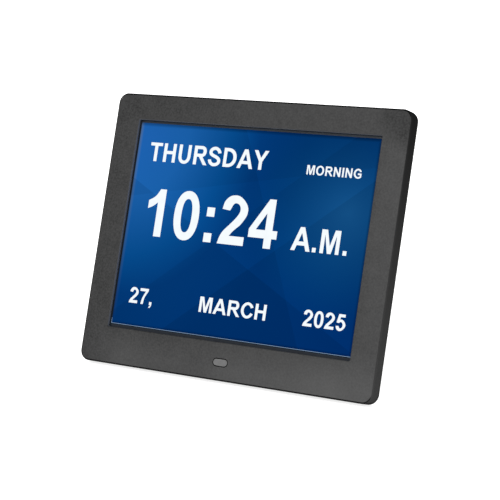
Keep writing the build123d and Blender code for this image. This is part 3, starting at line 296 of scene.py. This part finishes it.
def face_colour_and_painted_light(made, across, height):
    """Painted light and shade across the face from left to right, lighter along its foot, with
    painted shade in the upper corners, soft clouds and flecks.
    """
    # Painted light: tones of the strip along the foot and of the face above it, which stand in for
    # how the light falls
    lower = made.ramp(across, [
        (0.0, tone(34)), (0.15, tone(68)), (0.4, tone(62)), (0.56, tone(74)), (0.72, tone(75)),
        (0.85, tone(84)), (1.0, tone(78)),
    ])
    upper = made.ramp(across, [
        (0.0, tone(37)), (0.07, tone(39)), (0.13, tone(32)), (0.3, tone(35)), (0.5, tone(47)),
        (0.75, tone(49)), (0.9, tone(52)), (0.95, tone(60)), (1.0, tone(61)),
    ])
    face = made.mix(made.spread(height, *LOWER_STRIP), lower, upper)
    # Painted shade darkens both upper corners
    for side, dark in ((0.5, tone(33)), (-0.5, tone(29))):
        corner = FACE + (ACROSS * side * BODY_WIDTH + UP * BODY_HEIGHT) * MM
        away = made.distance(made.coords, corner)
        face = made.mix(made.fade(away, *CORNER_SHADE_FADE), dark, face)
    clouded = made.mix(made.grains(9.0), face, made.mix(0.06, face, FLECK_LIGHT))
    return made.mix(made.grains(1.1, FINE), clouded, made.mix(0.16, clouded, FLECK_LIGHT))


def sides_painted_shade_and_light(made, depth, height):
    """Round edge with painted shade, less dark where it faces down, dark sides, and painted light
    up the right side, lightest towards its foot.
    """
    # Painted shade on the round edge, which turns away from the light
    painted_edge_shade = made.mix(made.facing(-UP, *TURNED), tone(6), tone(50))
    rim = made.mix(made.fade(depth, *ROUND_END), painted_edge_shade, tone(42))
    # Painted light on the right side, lighter towards its foot
    painted_side_light = made.mix(height, tone(80), tone(40))
    return made.mix(made.facing(ACROSS, *TURNED), rim, painted_side_light)


def opening_painted_light(made, depth, face):
    """Bevel and wall of the display opening with painted light: a pale bluish wall, and both
    lighter where they face down or to the right.
    """
    # Painted light: the pale bluish wall stands in for the picture's light on it, and the lighter
    # bevel and wall for light where they face down or to the right
    lighter = made.facing((ACROSS - UP) / sqrt(2), 0.2, 0.4)
    bevel = made.mix(lighter, face, tone(84))
    painted_outer_wall_light = made.mix(lighter, tone(104, 109, 120), tone(130, 134, 142))
    wall = made.mix(made.fade(depth, *WALL_FADE), painted_outer_wall_light, tone(104, 109, 120))
    return made.mix(made.fade(depth, *BEVEL_END), bevel, wall)


def bezel_plastic():
    """Grained face with painted light and shade, painted light on the bevel and wall round the
    display, and smooth dark edges and sides with painted shade on the round edges and painted light
    on the right side.
    """
    made = Finish("bezel_plastic", 0.6, specular=BEZEL_GLOSS)
    depth, height = housing_places(made)
    from_middle = made.along(ACROSS)
    face = face_colour_and_painted_light(made, made.fade(from_middle, -BODY_WIDTH / 2, BODY_WIDTH / 2), height)
    sideways = made.math("ABSOLUTE", from_middle)
    upward = made.math("ABSOLUTE", made.along(UP, FACE.dot(UP) + PICTURE_CENTRE * MM))
    within = made.math(
        "MULTIPLY",
        made.fade(sideways, *(PICTURE_WIDTH / 2 + past for past in AROUND_SIDES)),
        made.fade(upward, *(PICTURE_HEIGHT / 2 + past for past in AROUND_ENDS)),
    )
    # Sides with painted shade and light, and the opening's bevel and wall with painted light
    outside, inside = sides_painted_shade_and_light(made, depth, height), opening_painted_light(made, depth, face)
    near_side = (BODY_WIDTH / 2 - inset for inset in SOFT_SIDE)
    weight = made.fade(from_middle, *near_side, 1.0, SOFT_WEIGHT)
    edge = made.fade(made.math("MULTIPLY", depth, weight), *GRAIN_END)
    made.paint(made.mix(edge, face, made.mix(within, outside, inside)))
    made.set("Specular IOR Level", made.spread(edge, 0.0, 1.0, BEZEL_GLOSS, 0.0))
    made.emboss(0.45, 0.03)
    return made.material


COVER_EDGE_SHADE = (0.9, 0.3)      # before the housing's thin edge ends, the cover's side darkens with painted shade
REARWARD = (0.9, 0.6)        # how far a surface faces the back, between the back and a side


def cover_plastic():
    """Grained rear moulding, its sides with painted light towards the foot and painted shade on the
    round edge of its flange.
    """
    roughness, grain = 0.58, 0.6
    made = Finish("cover_plastic", roughness, specular=0.2)
    depth, height = housing_places(made)
    # Painted light and shade on the cover's sides: lighter towards the foot, darker above, and
    # darkest towards the flange's rear edge
    side = made.mix(height, tone(58), tone(26))
    edge = made.fade(depth, *(BODY_DEPTH - rest for rest in COVER_EDGE_SHADE))
    shaded_side = made.mix(edge, side, tone(10))
    sideways = made.facing(-OUT, *REARWARD)
    made.paint(made.mix(sideways, made.mottle(tone(40), 0.2, 1.1, FINE), shaded_side))
    made.roughen(roughness, grain)
    made.emboss(grain, 0.03)
    return made.material


def metal(name, colour, roughness, stretch=(1.0, 1.0, 1.0)):
    """Bare or plated metal with faint tool marks, closer along an axis by its stretch."""
    made = Finish(name, roughness, metallic=1.0)
    made.paint(made.mottle(colour, 0.06, 3.0))
    marks = made.noise(0.3, 3.0, stretch)
    made.set("Roughness", made.spread(marks, *NOISE_SPAN, roughness - 0.08, roughness + 0.1))
    made.bump(marks, 0.004, 0.6)
    return made.material


def board_laminate():
    """Green board with tracks that run in two directions under the mask."""
    made = Finish("board_laminate", 0.38)
    tracks = made.add("TexBrick")
    settings = {
        "Vector": made.coords, "Scale": 260.0, "Mortar Size": 0.03,
        "Color1": tone(18, 74, 44), "Color2": tone(22, 82, 50), "Mortar": tone(44, 110, 70),
    }
    for name, value in settings.items():
        made.feed(tracks.inputs[name], value)
    made.paint(tracks.outputs["Color"])
    made.bump(tracks.outputs["Fac"], 0.03, 0.6)
    return made.material


def window_plastic():
    """Grey infrared window with a thin gloss."""
    made = Finish("window_plastic", 0.28, specular=0.4)
    made.paint(made.mottle(tone(113), 0.07, 1.6))
    made.bump(made.noise(0.8), 0.01, 0.5)
    made.set("Coat Weight", 0.3)
    return made.material


def display_glass():
    """Dark polariser over the panel's border."""
    made = Finish("display_glass", 0.3, specular=0.12)
    made.paint(made.mottle(tone(37, 42, 49), 0.1, 5.0))
    return made.material


# The display's light: spots in shares of the picture's size from its middle, and lengths in
# millimetres
LIGHT_SPOT = (-0.52, 0.42)
LIGHT_REACH = 190.0
LIGHT_SQUEEZE = (1, 0.85, 1)
SECOND_SPOT = (0.41, 0.15)
SECOND_REACH = 64.0
GLARE_WIDTH = 2.2            # painted glare: a pale strip up the left side, stronger towards the top
GLARE_SHARE = 0.5
SHADE_WIDTH = 1.6            # painted shadow of the bezel: a dark strip along all sides
SHADED = 0.5                 # share of the light at its outer side
OPEN_LIGHT = 0.93            # and past its inner side
# Faint folds: angle in degrees, place and width in millimetres, and what they add to the light
FOLDS = [
    (62, -14, 46, 0.16), (128, -20, 40, 0.14), (24, 18, 60, 0.12), (-52, -8, 50, -0.10),
    (100, 30, 34, -0.08),
]


def spot(shares):
    """Place on the picture, in metres, from its shares of the width and height."""
    return Vector((shares[0] * PICTURE_WIDTH, shares[1] * PICTURE_HEIGHT, 0)) * MM


def picture_light():
    """Blue background of the display, with soft light and a few faint folds across it, painted
    glare up its left side and a painted shadow of the bezel along its sides.
    """
    made = Finish("picture_light", 0.35, specular=0.0)
    made.paint(tone(0))
    half_width, half_height = PICTURE_WIDTH / 2, PICTURE_HEIGHT / 2
    away = made.distance(made.stretched(LIGHT_SQUEEZE), spot(LIGHT_SPOT))
    fading = made.ramp(made.fade(away, 0.0, LIGHT_REACH), [
        (0.0, tone(30, 97, 176)), (0.2, tone(26, 96, 170)), (0.36, tone(6, 76, 143)),
        (0.46, tone(2, 57, 119)), (0.62, tone(0, 49, 107)), (1.0, tone(0, 44, 103)),
    ])
    near = made.fade(made.distance(made.coords, spot(SECOND_SPOT)), 0.0, SECOND_REACH, 1.0, 0.0)
    lit = made.mix(near, fading, made.mix(near, tone(0, 66, 120), tone(20, 81, 136)))
    # Painted glare up the picture's left side
    from_left = made.along((1, 0, 0), -half_width * MM)
    strip = made.fade(from_left, 0.0, GLARE_WIDTH, GLARE_SHARE, 0.0)
    rise = made.fade(made.along((0, 1, 0)), -half_height, half_height)
    lit = made.mix(made.math("MULTIPLY", rise, strip), lit, tone(110, 125, 130))

    # The painted shadow of the bezel starts at the lower side, outside the left one and inside the
    # other two
    inset = made.along((0, 1, 0), -half_height * MM)
    other_sides = [
        ((1, 0, 0), -half_width - 0.6), ((-1, 0, 0), -half_width + 0.7),
        ((0, -1, 0), -half_height + 0.6),
    ]
    for direction, start in other_sides:
        inset = made.math("MINIMUM", inset, made.along(direction, start * MM))
    level = made.fade(inset, 0.0, SHADE_WIDTH, SHADED, OPEN_LIGHT)
    for angle, start, width, strength in FOLDS:
        direction = (cos(radians(angle)), sin(radians(angle)), 0)
        beyond = made.along(direction, start * MM)
        fold = made.fade(beyond, 0.0, width, strength, 0.0)
        added = made.math("MULTIPLY", fold, made.math("GREATER_THAN", beyond))
        level = made.math("ADD", level, added)
    scaled = made.add("VectorMath", lit, operation="SCALE")
    made.feed(scaled.inputs["Scale"], level)
    made.glow(scaled.outputs[0])
    return made.material


def readout_light():
    """White of the lit figures."""
    made = Finish("readout_light", 0.35, specular=0.0)
    made.paint(tone(0))
    made.glow(made.mottle(tone(246, 252, 255), 0.02, 4.0))
    return made.material


def edge_light():
    """Painted highlight, a glow on the cut edge of the picture's film where it would catch the
    light.
    """
    made = Finish("edge_light", 0.4, specular=0.1)
    made.paint(tone(30, 40, 60))
    made.glow(made.mottle(tone(150, 178, 208), 0.08, 6.0), 0.9)
    return made.material


def ink(name, colour):
    """Matt print."""
    made = Finish(name, 0.5, specular=0.1)
    made.paint(made.mottle(colour, 0.05, 0.8))
    return made.material


# Colour, roughness, grain and relief in millimetres, then gloss and flecks where they differ
MOULDINGS = {
    "key_plastic": (tone(58), 0.42, 0.4, 0.012),
    "leg_plastic": (tone(40), 0.52, 0.5, 0.03, 0.35, 0.2),
    "foot_rubber": (tone(30), 0.85, 0.3, 0.04, 0.15, 0.12),
    "washer_nylon": (tone(214, 210, 200), 0.45, 0.5, 0.01),
    "gasket_foam": (tone(26), 0.95, 0.25, 0.08, 0.1, 0.2),
    "optical_sheet": (tone(236), 0.35, 0.3, 0.004, 0.4, 0.02),
    "guide_acrylic": (tone(226, 236, 240), 0.12, 2.0, 0.002, 0.5, 0.03),
    "frame_plastic": (tone(232), 0.5, 0.5, 0.01, 0.4, 0.03),
    "flex_film": (tone(176, 104, 36), 0.3, 1.0, 0.006),
    "cable_film": (tone(224, 226, 228), 0.4, 0.5, 0.01),
    "chip_plastic": (tone(30), 0.6, 0.25, 0.01),
    "connector_plastic": (tone(226, 218, 198), 0.5, 0.5, 0.01),
    "socket_plastic": (tone(26), 0.45, 0.4, 0.01),
    "cone_paper": (tone(38), 0.9, 0.8, 0.05, 0.15, 0.15),
    "wire_red": (tone(168, 24, 22), 0.42, 0.6, 0.01),
}
# Colour and roughness, then the stretch of the tool marks where they run one way
METALS = {
    "screw_steel": (tone(60, 60, 64), 0.3),
    "pin_steel": (tone(178, 180, 184), 0.25, (6.0, 1.0, 1.0)),
    "tray_metal": (tone(168, 170, 172), 0.38, (1.0, 8.0, 8.0)),
    "can_metal": (tone(196, 198, 200), 0.28),
    "socket_metal": (tone(186, 188, 190), 0.26),
    "contact_brass": (tone(206, 170, 92), 0.3),
    "cell_steel": (tone(200, 202, 204), 0.24, (1.0, 1.0, 5.0)),
    "basket_metal": (tone(150, 152, 156), 0.4),
    "magnet_metal": (tone(96, 96, 100), 0.45),
}
FINISHES = {
    "bezel_plastic": bezel_plastic(),
    "cover_plastic": cover_plastic(),
    "display_glass": display_glass(),
    "window_plastic": window_plastic(),
    "board_laminate": board_laminate(),
}
FINISHES |= {name: moulded(name, *values) for name, values in MOULDINGS.items()}
FINISHES |= {name: metal(name, *values) for name, values in METALS.items()}
LIT = {"picture": picture_light(), "readout": readout_light(), "edge": edge_light()}
for node in frame["nodes"].values():
    for holder in node.material_slots:
        holder.material = FINISHES[holder.material.name.split(".")[0]]


# Flat shapes, from loops of corners (x, y) and smooth points (x, y, handle x, handle y)
CURVE_STEPS = 9


def reach(knot, other, sign):
    """Control point that leaves a knot towards another, or arrives at it for a negative sign."""
    place = Vector(knot[:2])
    if len(knot) > 2:
        return place + sign * Vector(knot[2:])
    return place + (Vector(other[:2]) - place) / 3


def run(knots, closed):
    """Points along a line of knots."""
    points = []
    pairs = list(zip(knots, knots[1:]))
    if closed:
        pairs.append((knots[-1], knots[0]))
    for here, there in pairs:
        start, end = Vector(here[:2]), Vector(there[:2])
        if len(here) > 2 or len(there) > 2:
            holds = reach(here, there, 1), reach(there, here, -1)
            points += interpolate_bezier(start, *holds, end, CURVE_STEPS)[:-1]
        else:
            points.append(start)
    if not closed:
        points.append(Vector(knots[-1][:2]))
    return points


def pen(knots, wide, high):
    """Outline of a pen line along smooth knots, wide in its stems and high in its bars."""
    line = run(knots, closed=False)
    sides = ([], [])
    for index, place in enumerate(line):
        ahead = line[min(index + 1, len(line) - 1)] - line[max(index - 1, 0)]
        normal = Vector((-ahead.y, ahead.x)).normalized()
        offset = Vector((normal.x * wide, normal.y * high)) / 2
        sides[0].append(place + offset)
        sides[1].append(place - offset)
    return sides[0] + sides[1][::-1]


def loop(*knots):
    """Closed outline through these knots."""
    return run(knots, closed=True)


def oval(x, y, half_width, half_height, fullness=0.56):
    """Closed oval; a larger fullness makes it squarer."""
    dx, dy = half_width * fullness, half_height * fullness
    return loop(
        (x + half_width, y, 0, dy), (x, y + half_height, -dx, 0),
        (x - half_width, y, 0, -dy), (x, y - half_height, dx, 0),
    )


def bar(left, bottom, right, top):
    """Outline of an upright rectangle."""
    return loop((left, bottom), (right, bottom), (right, top), (left, top))


def flat_piece(name, shapes, matrix, material, body="housing"):
    """A thin layer of filled shapes, each an outer loop followed by its holes, in millimetres."""
    places, faces = [], []
    for loops in shapes:
        start = len(places)
        flat = [[Vector((*point, 0)) * MM for point in each] for each in loops]
        places += [point for each in flat for point in each]
        for corners in tessellate_polygon(flat):
            a, b, c = (places[start + corner] for corner in corners)
            ordered = corners if (b - a).cross(c - a).z > 0 else corners[::-1]
            faces.append([start + corner for corner in ordered])
    mesh = bpy.data.meshes.new(name)
    mesh.from_pydata(places, [], faces)
    mesh.materials.append(material)
    piece = add_object(name, mesh)
    piece.matrix_world = matrix
    shell = piece.modifiers.new("thickness", "SOLIDIFY")
    shell.thickness = FILM * MM
    shell.offset = -1
    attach(piece, body)


# Bold sans letters on a capital height of 1: how far each moves the next on, and its shapes
STEM = 0.204                 # thickness of an upright pen line
CROSSBAR = 0.168             # thickness of a level one
GLYPHS = {
    ".": (0.388, [[bar(0.10, 0, 0.29, 0.19)]]),
    ",": (0.388, [[loop(
        (0.10, 0), (0.10, 0.19), (0.29, 0.19), (0.29, 0.04, 0, -0.08), (0.20, -0.16, -0.04, -0.03),
        (0.13, -0.20), (0.09, -0.13), (0.18, -0.05, 0.02, 0.03), (0.195, 0),
    )]]),
    ":": (0.465, [[bar(0.135, 0, 0.335, 0.19)], [bar(0.135, 0.53, 0.335, 0.72)]]),
    "0": (0.777, [[oval(0.388, 0.5, 0.33, 0.517, 0.62), oval(0.388, 0.5, 0.138, 0.35, 0.66)]]),
    "1": (0.777, [[loop(
        (0.549, 0), (0.549, 1.0), (0.393, 1.0), (0.27, 0.84, -0.06, -0.05), (0.11, 0.75),
        (0.11, 0.578), (0.25, 0.64, 0.06, 0.035), (0.357, 0.72), (0.357, 0),
    )]]),
    "2": (0.777, [[loop(
        (0.705, 0.178), (0.705, 0), (0.036, 0), (0.105, 0.20, 0.05, 0.09),
        (0.322, 0.436, 0.11, 0.11), (0.522, 0.722, 0, 0.08), (0.388, 0.855, -0.078, 0),
        (0.254, 0.695), (0.056, 0.716), (0.14, 0.925, 0.075, 0.07), (0.395, 1.015, 0.13, 0),
        (0.715, 0.735, 0, -0.11), (0.62, 0.49, -0.075, -0.105), (0.44, 0.315, -0.08, -0.07),
        (0.315, 0.178),
    )]]),
    "4": (0.777, [[
        loop(
            (0.43, 0), (0.43, 0.2), (0.022, 0.2), (0.022, 0.368), (0.455, 1.0), (0.615, 1.0),
            (0.615, 0.368), (0.74, 0.368), (0.74, 0.2), (0.615, 0.2), (0.615, 0),
        ),
        loop((0.43, 0.368), (0.43, 0.71), (0.198, 0.368)),
    ]]),
    "5": (0.777, [[loop(
        (0.205, 1.0), (0.66, 1.0), (0.66, 0.825), (0.348, 0.825), (0.315, 0.655),
        (0.43, 0.682, 0.11, 0), (0.735, 0.345, 0, -0.14), (0.38, -0.017, -0.14, 0),
        (0.13, 0.09, -0.045, 0.06), (0.058, 0.262), (0.252, 0.282), (0.385, 0.142, 0.08, 0),
        (0.537, 0.338, 0, 0.10), (0.39, 0.53, -0.07, 0), (0.25, 0.455), (0.092, 0.478),
    )]]),
    "7": (0.777, [[loop(
        (0.06, 0.822), (0.06, 1.0), (0.716, 1.0), (0.716, 0.862), (0.50, 0.50, -0.09, -0.16),
        (0.388, 0), (0.198, 0), (0.30, 0.42, 0.06, 0.15), (0.502, 0.822),
    )]]),
    "A": (1.008, [[
        loop(
            (0, 0), (0.39, 1.0), (0.612, 1.0), (1.003, 0), (0.786, 0), (0.698, 0.228),
            (0.302, 0.228), (0.218, 0),
        ),
        loop((0.362, 0.395), (0.636, 0.395), (0.5, 0.762)),
    ]]),
    "C": (1.008, [[pen([
        (0.86, 0.69, -0.04, 0.11), (0.53, 0.933, -0.17, 0), (0.165, 0.5, 0, -0.24),
        (0.53, 0.067, 0.17, 0), (0.875, 0.33, 0.04, 0.11),
    ], STEM, CROSSBAR)]]),
    "D": (1.008, [[
        loop(
            (0.102, 0), (0.40, 0, 0.31, 0), (0.936, 0.5, 0, 0.29), (0.40, 1.0, -0.31, 0),
            (0.102, 1.0),
        ),
        loop(
            (0.306, 0.168), (0.38, 0.168, 0.20, 0), (0.731, 0.5, 0, 0.19), (0.38, 0.832, -0.20, 0),
            (0.306, 0.832),
        ),
    ]]),
    "G": (1.087, [
        [pen([
            (0.875, 0.70, -0.04, 0.10), (0.55, 0.933, -0.18, 0), (0.165, 0.5, 0, -0.24),
            (0.57, 0.067, 0.15, 0), (0.90, 0.185, 0.08, 0.06),
        ], STEM, CROSSBAR)],
        [loop(
            (0.555, 0.372), (0.555, 0.54), (0.985, 0.54), (0.985, 0.14), (0.80, 0.10),
            (0.80, 0.372),
        )],
    ]),
    "H": (1.008, [[loop(
        (0.102, 0), (0.102, 1.0), (0.306, 1.0), (0.306, 0.606), (0.70, 0.606), (0.70, 1.0),
        (0.904, 1.0), (0.904, 0), (0.70, 0), (0.70, 0.437), (0.306, 0.437), (0.306, 0),
    )]]),
    "I": (0.388, [[bar(0.095, 0, 0.299, 1.0)]]),
    "M": (1.163, [[loop(
        (0.098, 0), (0.098, 1.0), (0.385, 1.0), (0.58, 0.32), (0.775, 1.0), (1.062, 1.0),
        (1.062, 0), (0.877, 0), (0.877, 0.787), (0.675, 0), (0.485, 0), (0.283, 0.787), (0.283, 0),
    )]]),
    "N": (1.008, [[loop(
        (0.103, 0), (0.103, 1.0), (0.30, 1.0), (0.71, 0.335), (0.71, 1.0), (0.898, 1.0), (0.898, 0),
        (0.695, 0), (0.291, 0.652), (0.291, 0),
    )]]),
    "O": (1.087, [[oval(0.543, 0.5, 0.483, 0.517), oval(0.543, 0.5, 0.275, 0.346)]]),
    "R": (1.008, [
        [
            loop(
                (0.102, 0), (0.102, 1.0), (0.62, 1.0, 0.16, 0), (0.905, 0.71, 0, -0.16),
                (0.62, 0.42, -0.16, 0), (0.306, 0.42), (0.306, 0),
            ),
            loop(
                (0.306, 0.832), (0.60, 0.832, 0.07, 0), (0.695, 0.709, 0, -0.07),
                (0.60, 0.585, -0.07, 0), (0.306, 0.585),
            ),
        ],
        [loop((0.44, 0.43), (0.67, 0.43), (1.015, 0), (0.768, 0))],
    ]),
    "S": (0.932, [[pen([
        (0.757, 0.685, 0, 0.11), (0.45, 0.933, -0.15, 0), (0.175, 0.725, 0, -0.12),
        (0.46, 0.51, 0.15, -0.05), (0.757, 0.272, 0, -0.12), (0.45, 0.067, -0.17, 0),
        (0.15, 0.325, 0, 0.11),
    ], STEM, CROSSBAR)]]),
    "T": (0.853, [[loop(
        (0.03, 0.832), (0.03, 1.0), (0.824, 1.0), (0.824, 0.832), (0.529, 0.832), (0.529, 0),
        (0.325, 0), (0.325, 0.832),
    )]]),
    "U": (1.008, [[pen([
        (0.202, 1.0, 0, -0.15), (0.202, 0.40, 0, -0.20), (0.5, 0.067, 0.17, 0),
        (0.80, 0.40, 0, 0.20), (0.80, 1.0, 0, 0.15),
    ], STEM, CROSSBAR)]]),
    "Y": (0.932, [[loop(
        (0, 1.0), (0.236, 1.0), (0.463, 0.61), (0.69, 1.0), (0.925, 1.0), (0.565, 0.42), (0.565, 0),
        (0.361, 0), (0.361, 0.42),
    )]]),
}


def write(name, text, left, base, height, stretch):
    """A word of the readout, from its left edge and baseline, in its height and relative width."""
    shapes, pace = [], 0.0
    for letter in text:
        step, drawn = GLYPHS[letter]
        for loops in drawn:
            shapes.append([
                [((pace + x) * height * stretch, y * height) for x, y in each] for each in loops
            ])
        pace += step
    flat_piece(name, shapes, front(left, base, READOUT_DEPTH), LIT["readout"])


ROUND_HOLD = 0.55            # length of a round corner's handles, in its radii


def rounded(width, height, corner):
    """Loop of a rectangle with round corners, about its centre."""
    x, y, hold = width / 2, height / 2, ROUND_HOLD * corner
    return loop(
        (x - corner, -y, hold, 0), (x, -y + corner, 0, hold), (x, y - corner, 0, hold),
        (x - corner, y, -hold, 0), (-x + corner, y, -hold, 0), (-x, y - corner, 0, -hold),
        (-x, -y + corner, 0, -hold), (-x + corner, -y, hold, 0),
    )


# The display: its picture, a painted highlight on the edge of the picture's film, the print round
# it with painted shade below the picture, and the words
EDGE_WIDTH = 0.2
EDGE_RISE = 3.0              # up the picture's left side
BORDER_WIDTH = 0.5           # past the picture's sides, and as much of it behind the picture
BORDER_BELOW = 0.8           # past the picture's foot, where the dark border is also painted shade
flat_piece(
    "lit_picture", [[rounded(PICTURE_WIDTH, PICTURE_HEIGHT, PICTURE_CORNER)]],
    front(PICTURE_ACROSS, PICTURE_CENTRE, PICTURE_DEPTH), LIT["picture"],
)
# Painted highlight: a thin glowing line along the picture's foot and up its left side
flat_piece(
    "picture_edge_highlight", [[loop(
        (0, 0), (0, EDGE_RISE), (-EDGE_WIDTH, EDGE_RISE), (-EDGE_WIDTH, -EDGE_WIDTH),
        (PICTURE_WIDTH, -EDGE_WIDTH), (PICTURE_WIDTH, 0),
    )]],
    front(PICTURE_ACROSS - PICTURE_WIDTH / 2, PICTURE_CENTRE - PICTURE_HEIGHT / 2, PICTURE_DEPTH),
    LIT["edge"],
)
outer = PICTURE_WIDTH / 2 + BORDER_WIDTH
inner = PICTURE_WIDTH / 2 - BORDER_WIDTH
border_top = PICTURE_HEIGHT / 2
border_foot = -border_top - BORDER_BELOW
lap = border_foot + 2 * BORDER_WIDTH
# Dark border print round the picture, which below the picture is also painted shade
flat_piece(
    "picture_border", [[loop(
        (-outer, border_top), (-outer, border_foot), (outer, border_foot), (outer, border_top),
        (inner, border_top), (inner, lap), (-inner, lap), (-inner, border_top),
    )]],
    front(PICTURE_ACROSS, PICTURE_CENTRE, BORDER_DEPTH), ink("border_print_and_shade", tone(20, 32, 46)),
)
write("readout_weekday", "THURSDAY", -72.0, 123.2, 11.2, 0.95)
write("readout_part_of_day", "MORNING", 36.0, 122.8, 5.4, 0.985)
write("readout_time", "10:24", -70.0, 78.4, 28.4, 0.93)
write("readout_half", "A.M.", 33.3, 79.3, 13.5, 0.93)
write("readout_day", "27,", -71.0, 37.7, 9.3, 0.97)
write("readout_month", "MARCH", -22.0, 37.7, 9.0, 1.0)
write("readout_year", "2025", 47.6, 37.8, 9.2, 0.97)

# Signs printed on the rear keys, in millimetres about each key's middle
SIGN_LINE = 0.45
BAR_HALF = 0.22              # half the thickness of a straight bar


def arrow(angle):
    """Filled triangle that points at an angle from the right."""
    turn = Matrix.Rotation(radians(angle), 2)
    return [[turn @ point for point in loop((1.5, 0), (-0.8, 1.3), (-0.8, -1.3))]]


def stroke(*knots):
    """Line of a sign along smooth knots."""
    return [pen(knots, SIGN_LINE, SIGN_LINE)]


SIGNS = {
    "power": [
        stroke(
            (0.75, 1.05, 0.3, -0.25), (1.35, -0.1, 0, -0.5), (0, -1.45, -0.75, 0),
            (-1.35, -0.1, 0, 0.5), (-0.75, 1.05, 0.3, 0.25),
        ),
        [bar(-BAR_HALF, -0.1, BAR_HALF, 1.6)],
    ],
    "menu": [[bar(-1.4, y - BAR_HALF, 1.4, y + BAR_HALF)] for y in (-1.0, 0, 1.0)],
    "left": [arrow(180)],
    "up": [arrow(90)],
    "down": [arrow(-90)],
    "right": [arrow(0)],
    "exit": [
        stroke(
            (-0.9, 0.6, 0.5, 0), (0.5, 0.6, 0.4, 0), (1.25, -0.25, 0, -0.45),
            (0.5, -1.1, -0.4, 0), (-0.9, -1.1, -0.5, 0),
        ),
        [loop((-1.8, 0.6), (-0.7, 1.5), (-0.7, -0.3))],
    ],
}
sign_print = ink("sign_print", tone(196))
for key, shapes in SIGNS.items():
    low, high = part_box(f"{key}_key")
    key_across = (low.x + high.x) / 2 / MM
    flat_piece(
        f"{key}_sign", shapes, rear(key_across, KEY_HEIGHT, KEY_TOP + FILM), sign_print,
        f"{key}_key",
    )

# Floor, light and camera, in metres
WHITE = (1.0, 1.0, 1.0, 1.0)
FLOOR_HALF = 6.0
FLOOR_LIGHT = 0.8            # added to the floor for the camera alone
SKY_LIGHT = 0.4
LOOK_AT = FACE + Vector((0.02184, 0, 0.07809))
CAMERA_AZIMUTH = radians(31.45)
CAMERA_ELEVATION = radians(10.53)
CAMERA_DISTANCE = 0.9253
LENS = 120.0                 # focal length, in millimetres


def shadow_floor():
    """Pale floor that stays white to the camera except where the part shades it."""
    made = Finish("pale_floor", 0.9, specular=0.1)
    made.paint(made.mottle(tone(238), 0.01, 400.0))
    path = made.add("LightPath").outputs["Is Camera Ray"]
    made.glow(WHITE, made.math("MULTIPLY", path, FLOOR_LIGHT))
    return made.material


floor_mesh = bpy.data.meshes.new("floor")
floor_corners = [
    (-FLOOR_HALF, -FLOOR_HALF, 0), (FLOOR_HALF, -FLOOR_HALF, 0),
    (FLOOR_HALF, FLOOR_HALF, 0), (-FLOOR_HALF, FLOOR_HALF, 0),
]
floor_mesh.from_pydata(floor_corners, [], [(0, 1, 2, 3)])
floor_mesh.materials.append(shadow_floor())
floor = add_object("floor", floor_mesh)

# The world is white to the camera, in reflections and through glass, and else a soft even light
world = bpy.data.worlds.new("studio")
bpy.context.scene.world = world
world.use_nodes = True
nodes, links = world.node_tree.nodes, world.node_tree.links
sky = nodes["Background"]
sky.inputs["Color"].default_value = WHITE
rays = nodes.new("ShaderNodeLightPath")
seen = rays.outputs["Is Camera Ray"]
for ray in ("Is Glossy Ray", "Is Transmission Ray"):
    either = nodes.new("ShaderNodeMath")
    either.operation = "MAXIMUM"
    links.new(seen, either.inputs[0])
    links.new(rays.outputs[ray], either.inputs[1])
    seen = either.outputs[0]
strength = nodes.new("ShaderNodeMapRange")
strength.inputs["To Min"].default_value = SKY_LIGHT
strength.inputs["To Max"].default_value = 1.0
links.new(seen, strength.inputs["Value"])
links.new(strength.outputs[0], sky.inputs["Strength"])


def lamp(name, place, size, power):
    """Square soft light at a place, aimed at the middle of the view."""
    light = bpy.data.lights.new(name, "AREA")
    light.size = size
    light.energy = power
    holder = add_object(name, light)
    holder.location = place
    holder.rotation_euler = (LOOK_AT - Vector(place)).to_track_quat("-Z", "Y").to_euler()


lamp("key_light", (-0.55, -1.35, 1.25), 0.9, 13.0)
lamp("low_light", (0.75, -1.2, 0.35), 0.7, 3.2)
lamp("rear_light", (-0.7, 1.4, 1.1), 0.9, 16.0)

away = Vector((
    sin(CAMERA_AZIMUTH) * cos(CAMERA_ELEVATION),
    -cos(CAMERA_AZIMUTH) * cos(CAMERA_ELEVATION),
    sin(CAMERA_ELEVATION),
))
optics = bpy.data.cameras.new("camera")
optics.lens = LENS
camera = add_object("camera", optics)
camera.location = LOOK_AT + away * CAMERA_DISTANCE
camera.rotation_euler = (-away).to_track_quat("-Z", "Y").to_euler()
bpy.context.scene.camera = camera
bpy.context.scene.view_settings.view_transform = "Standard"
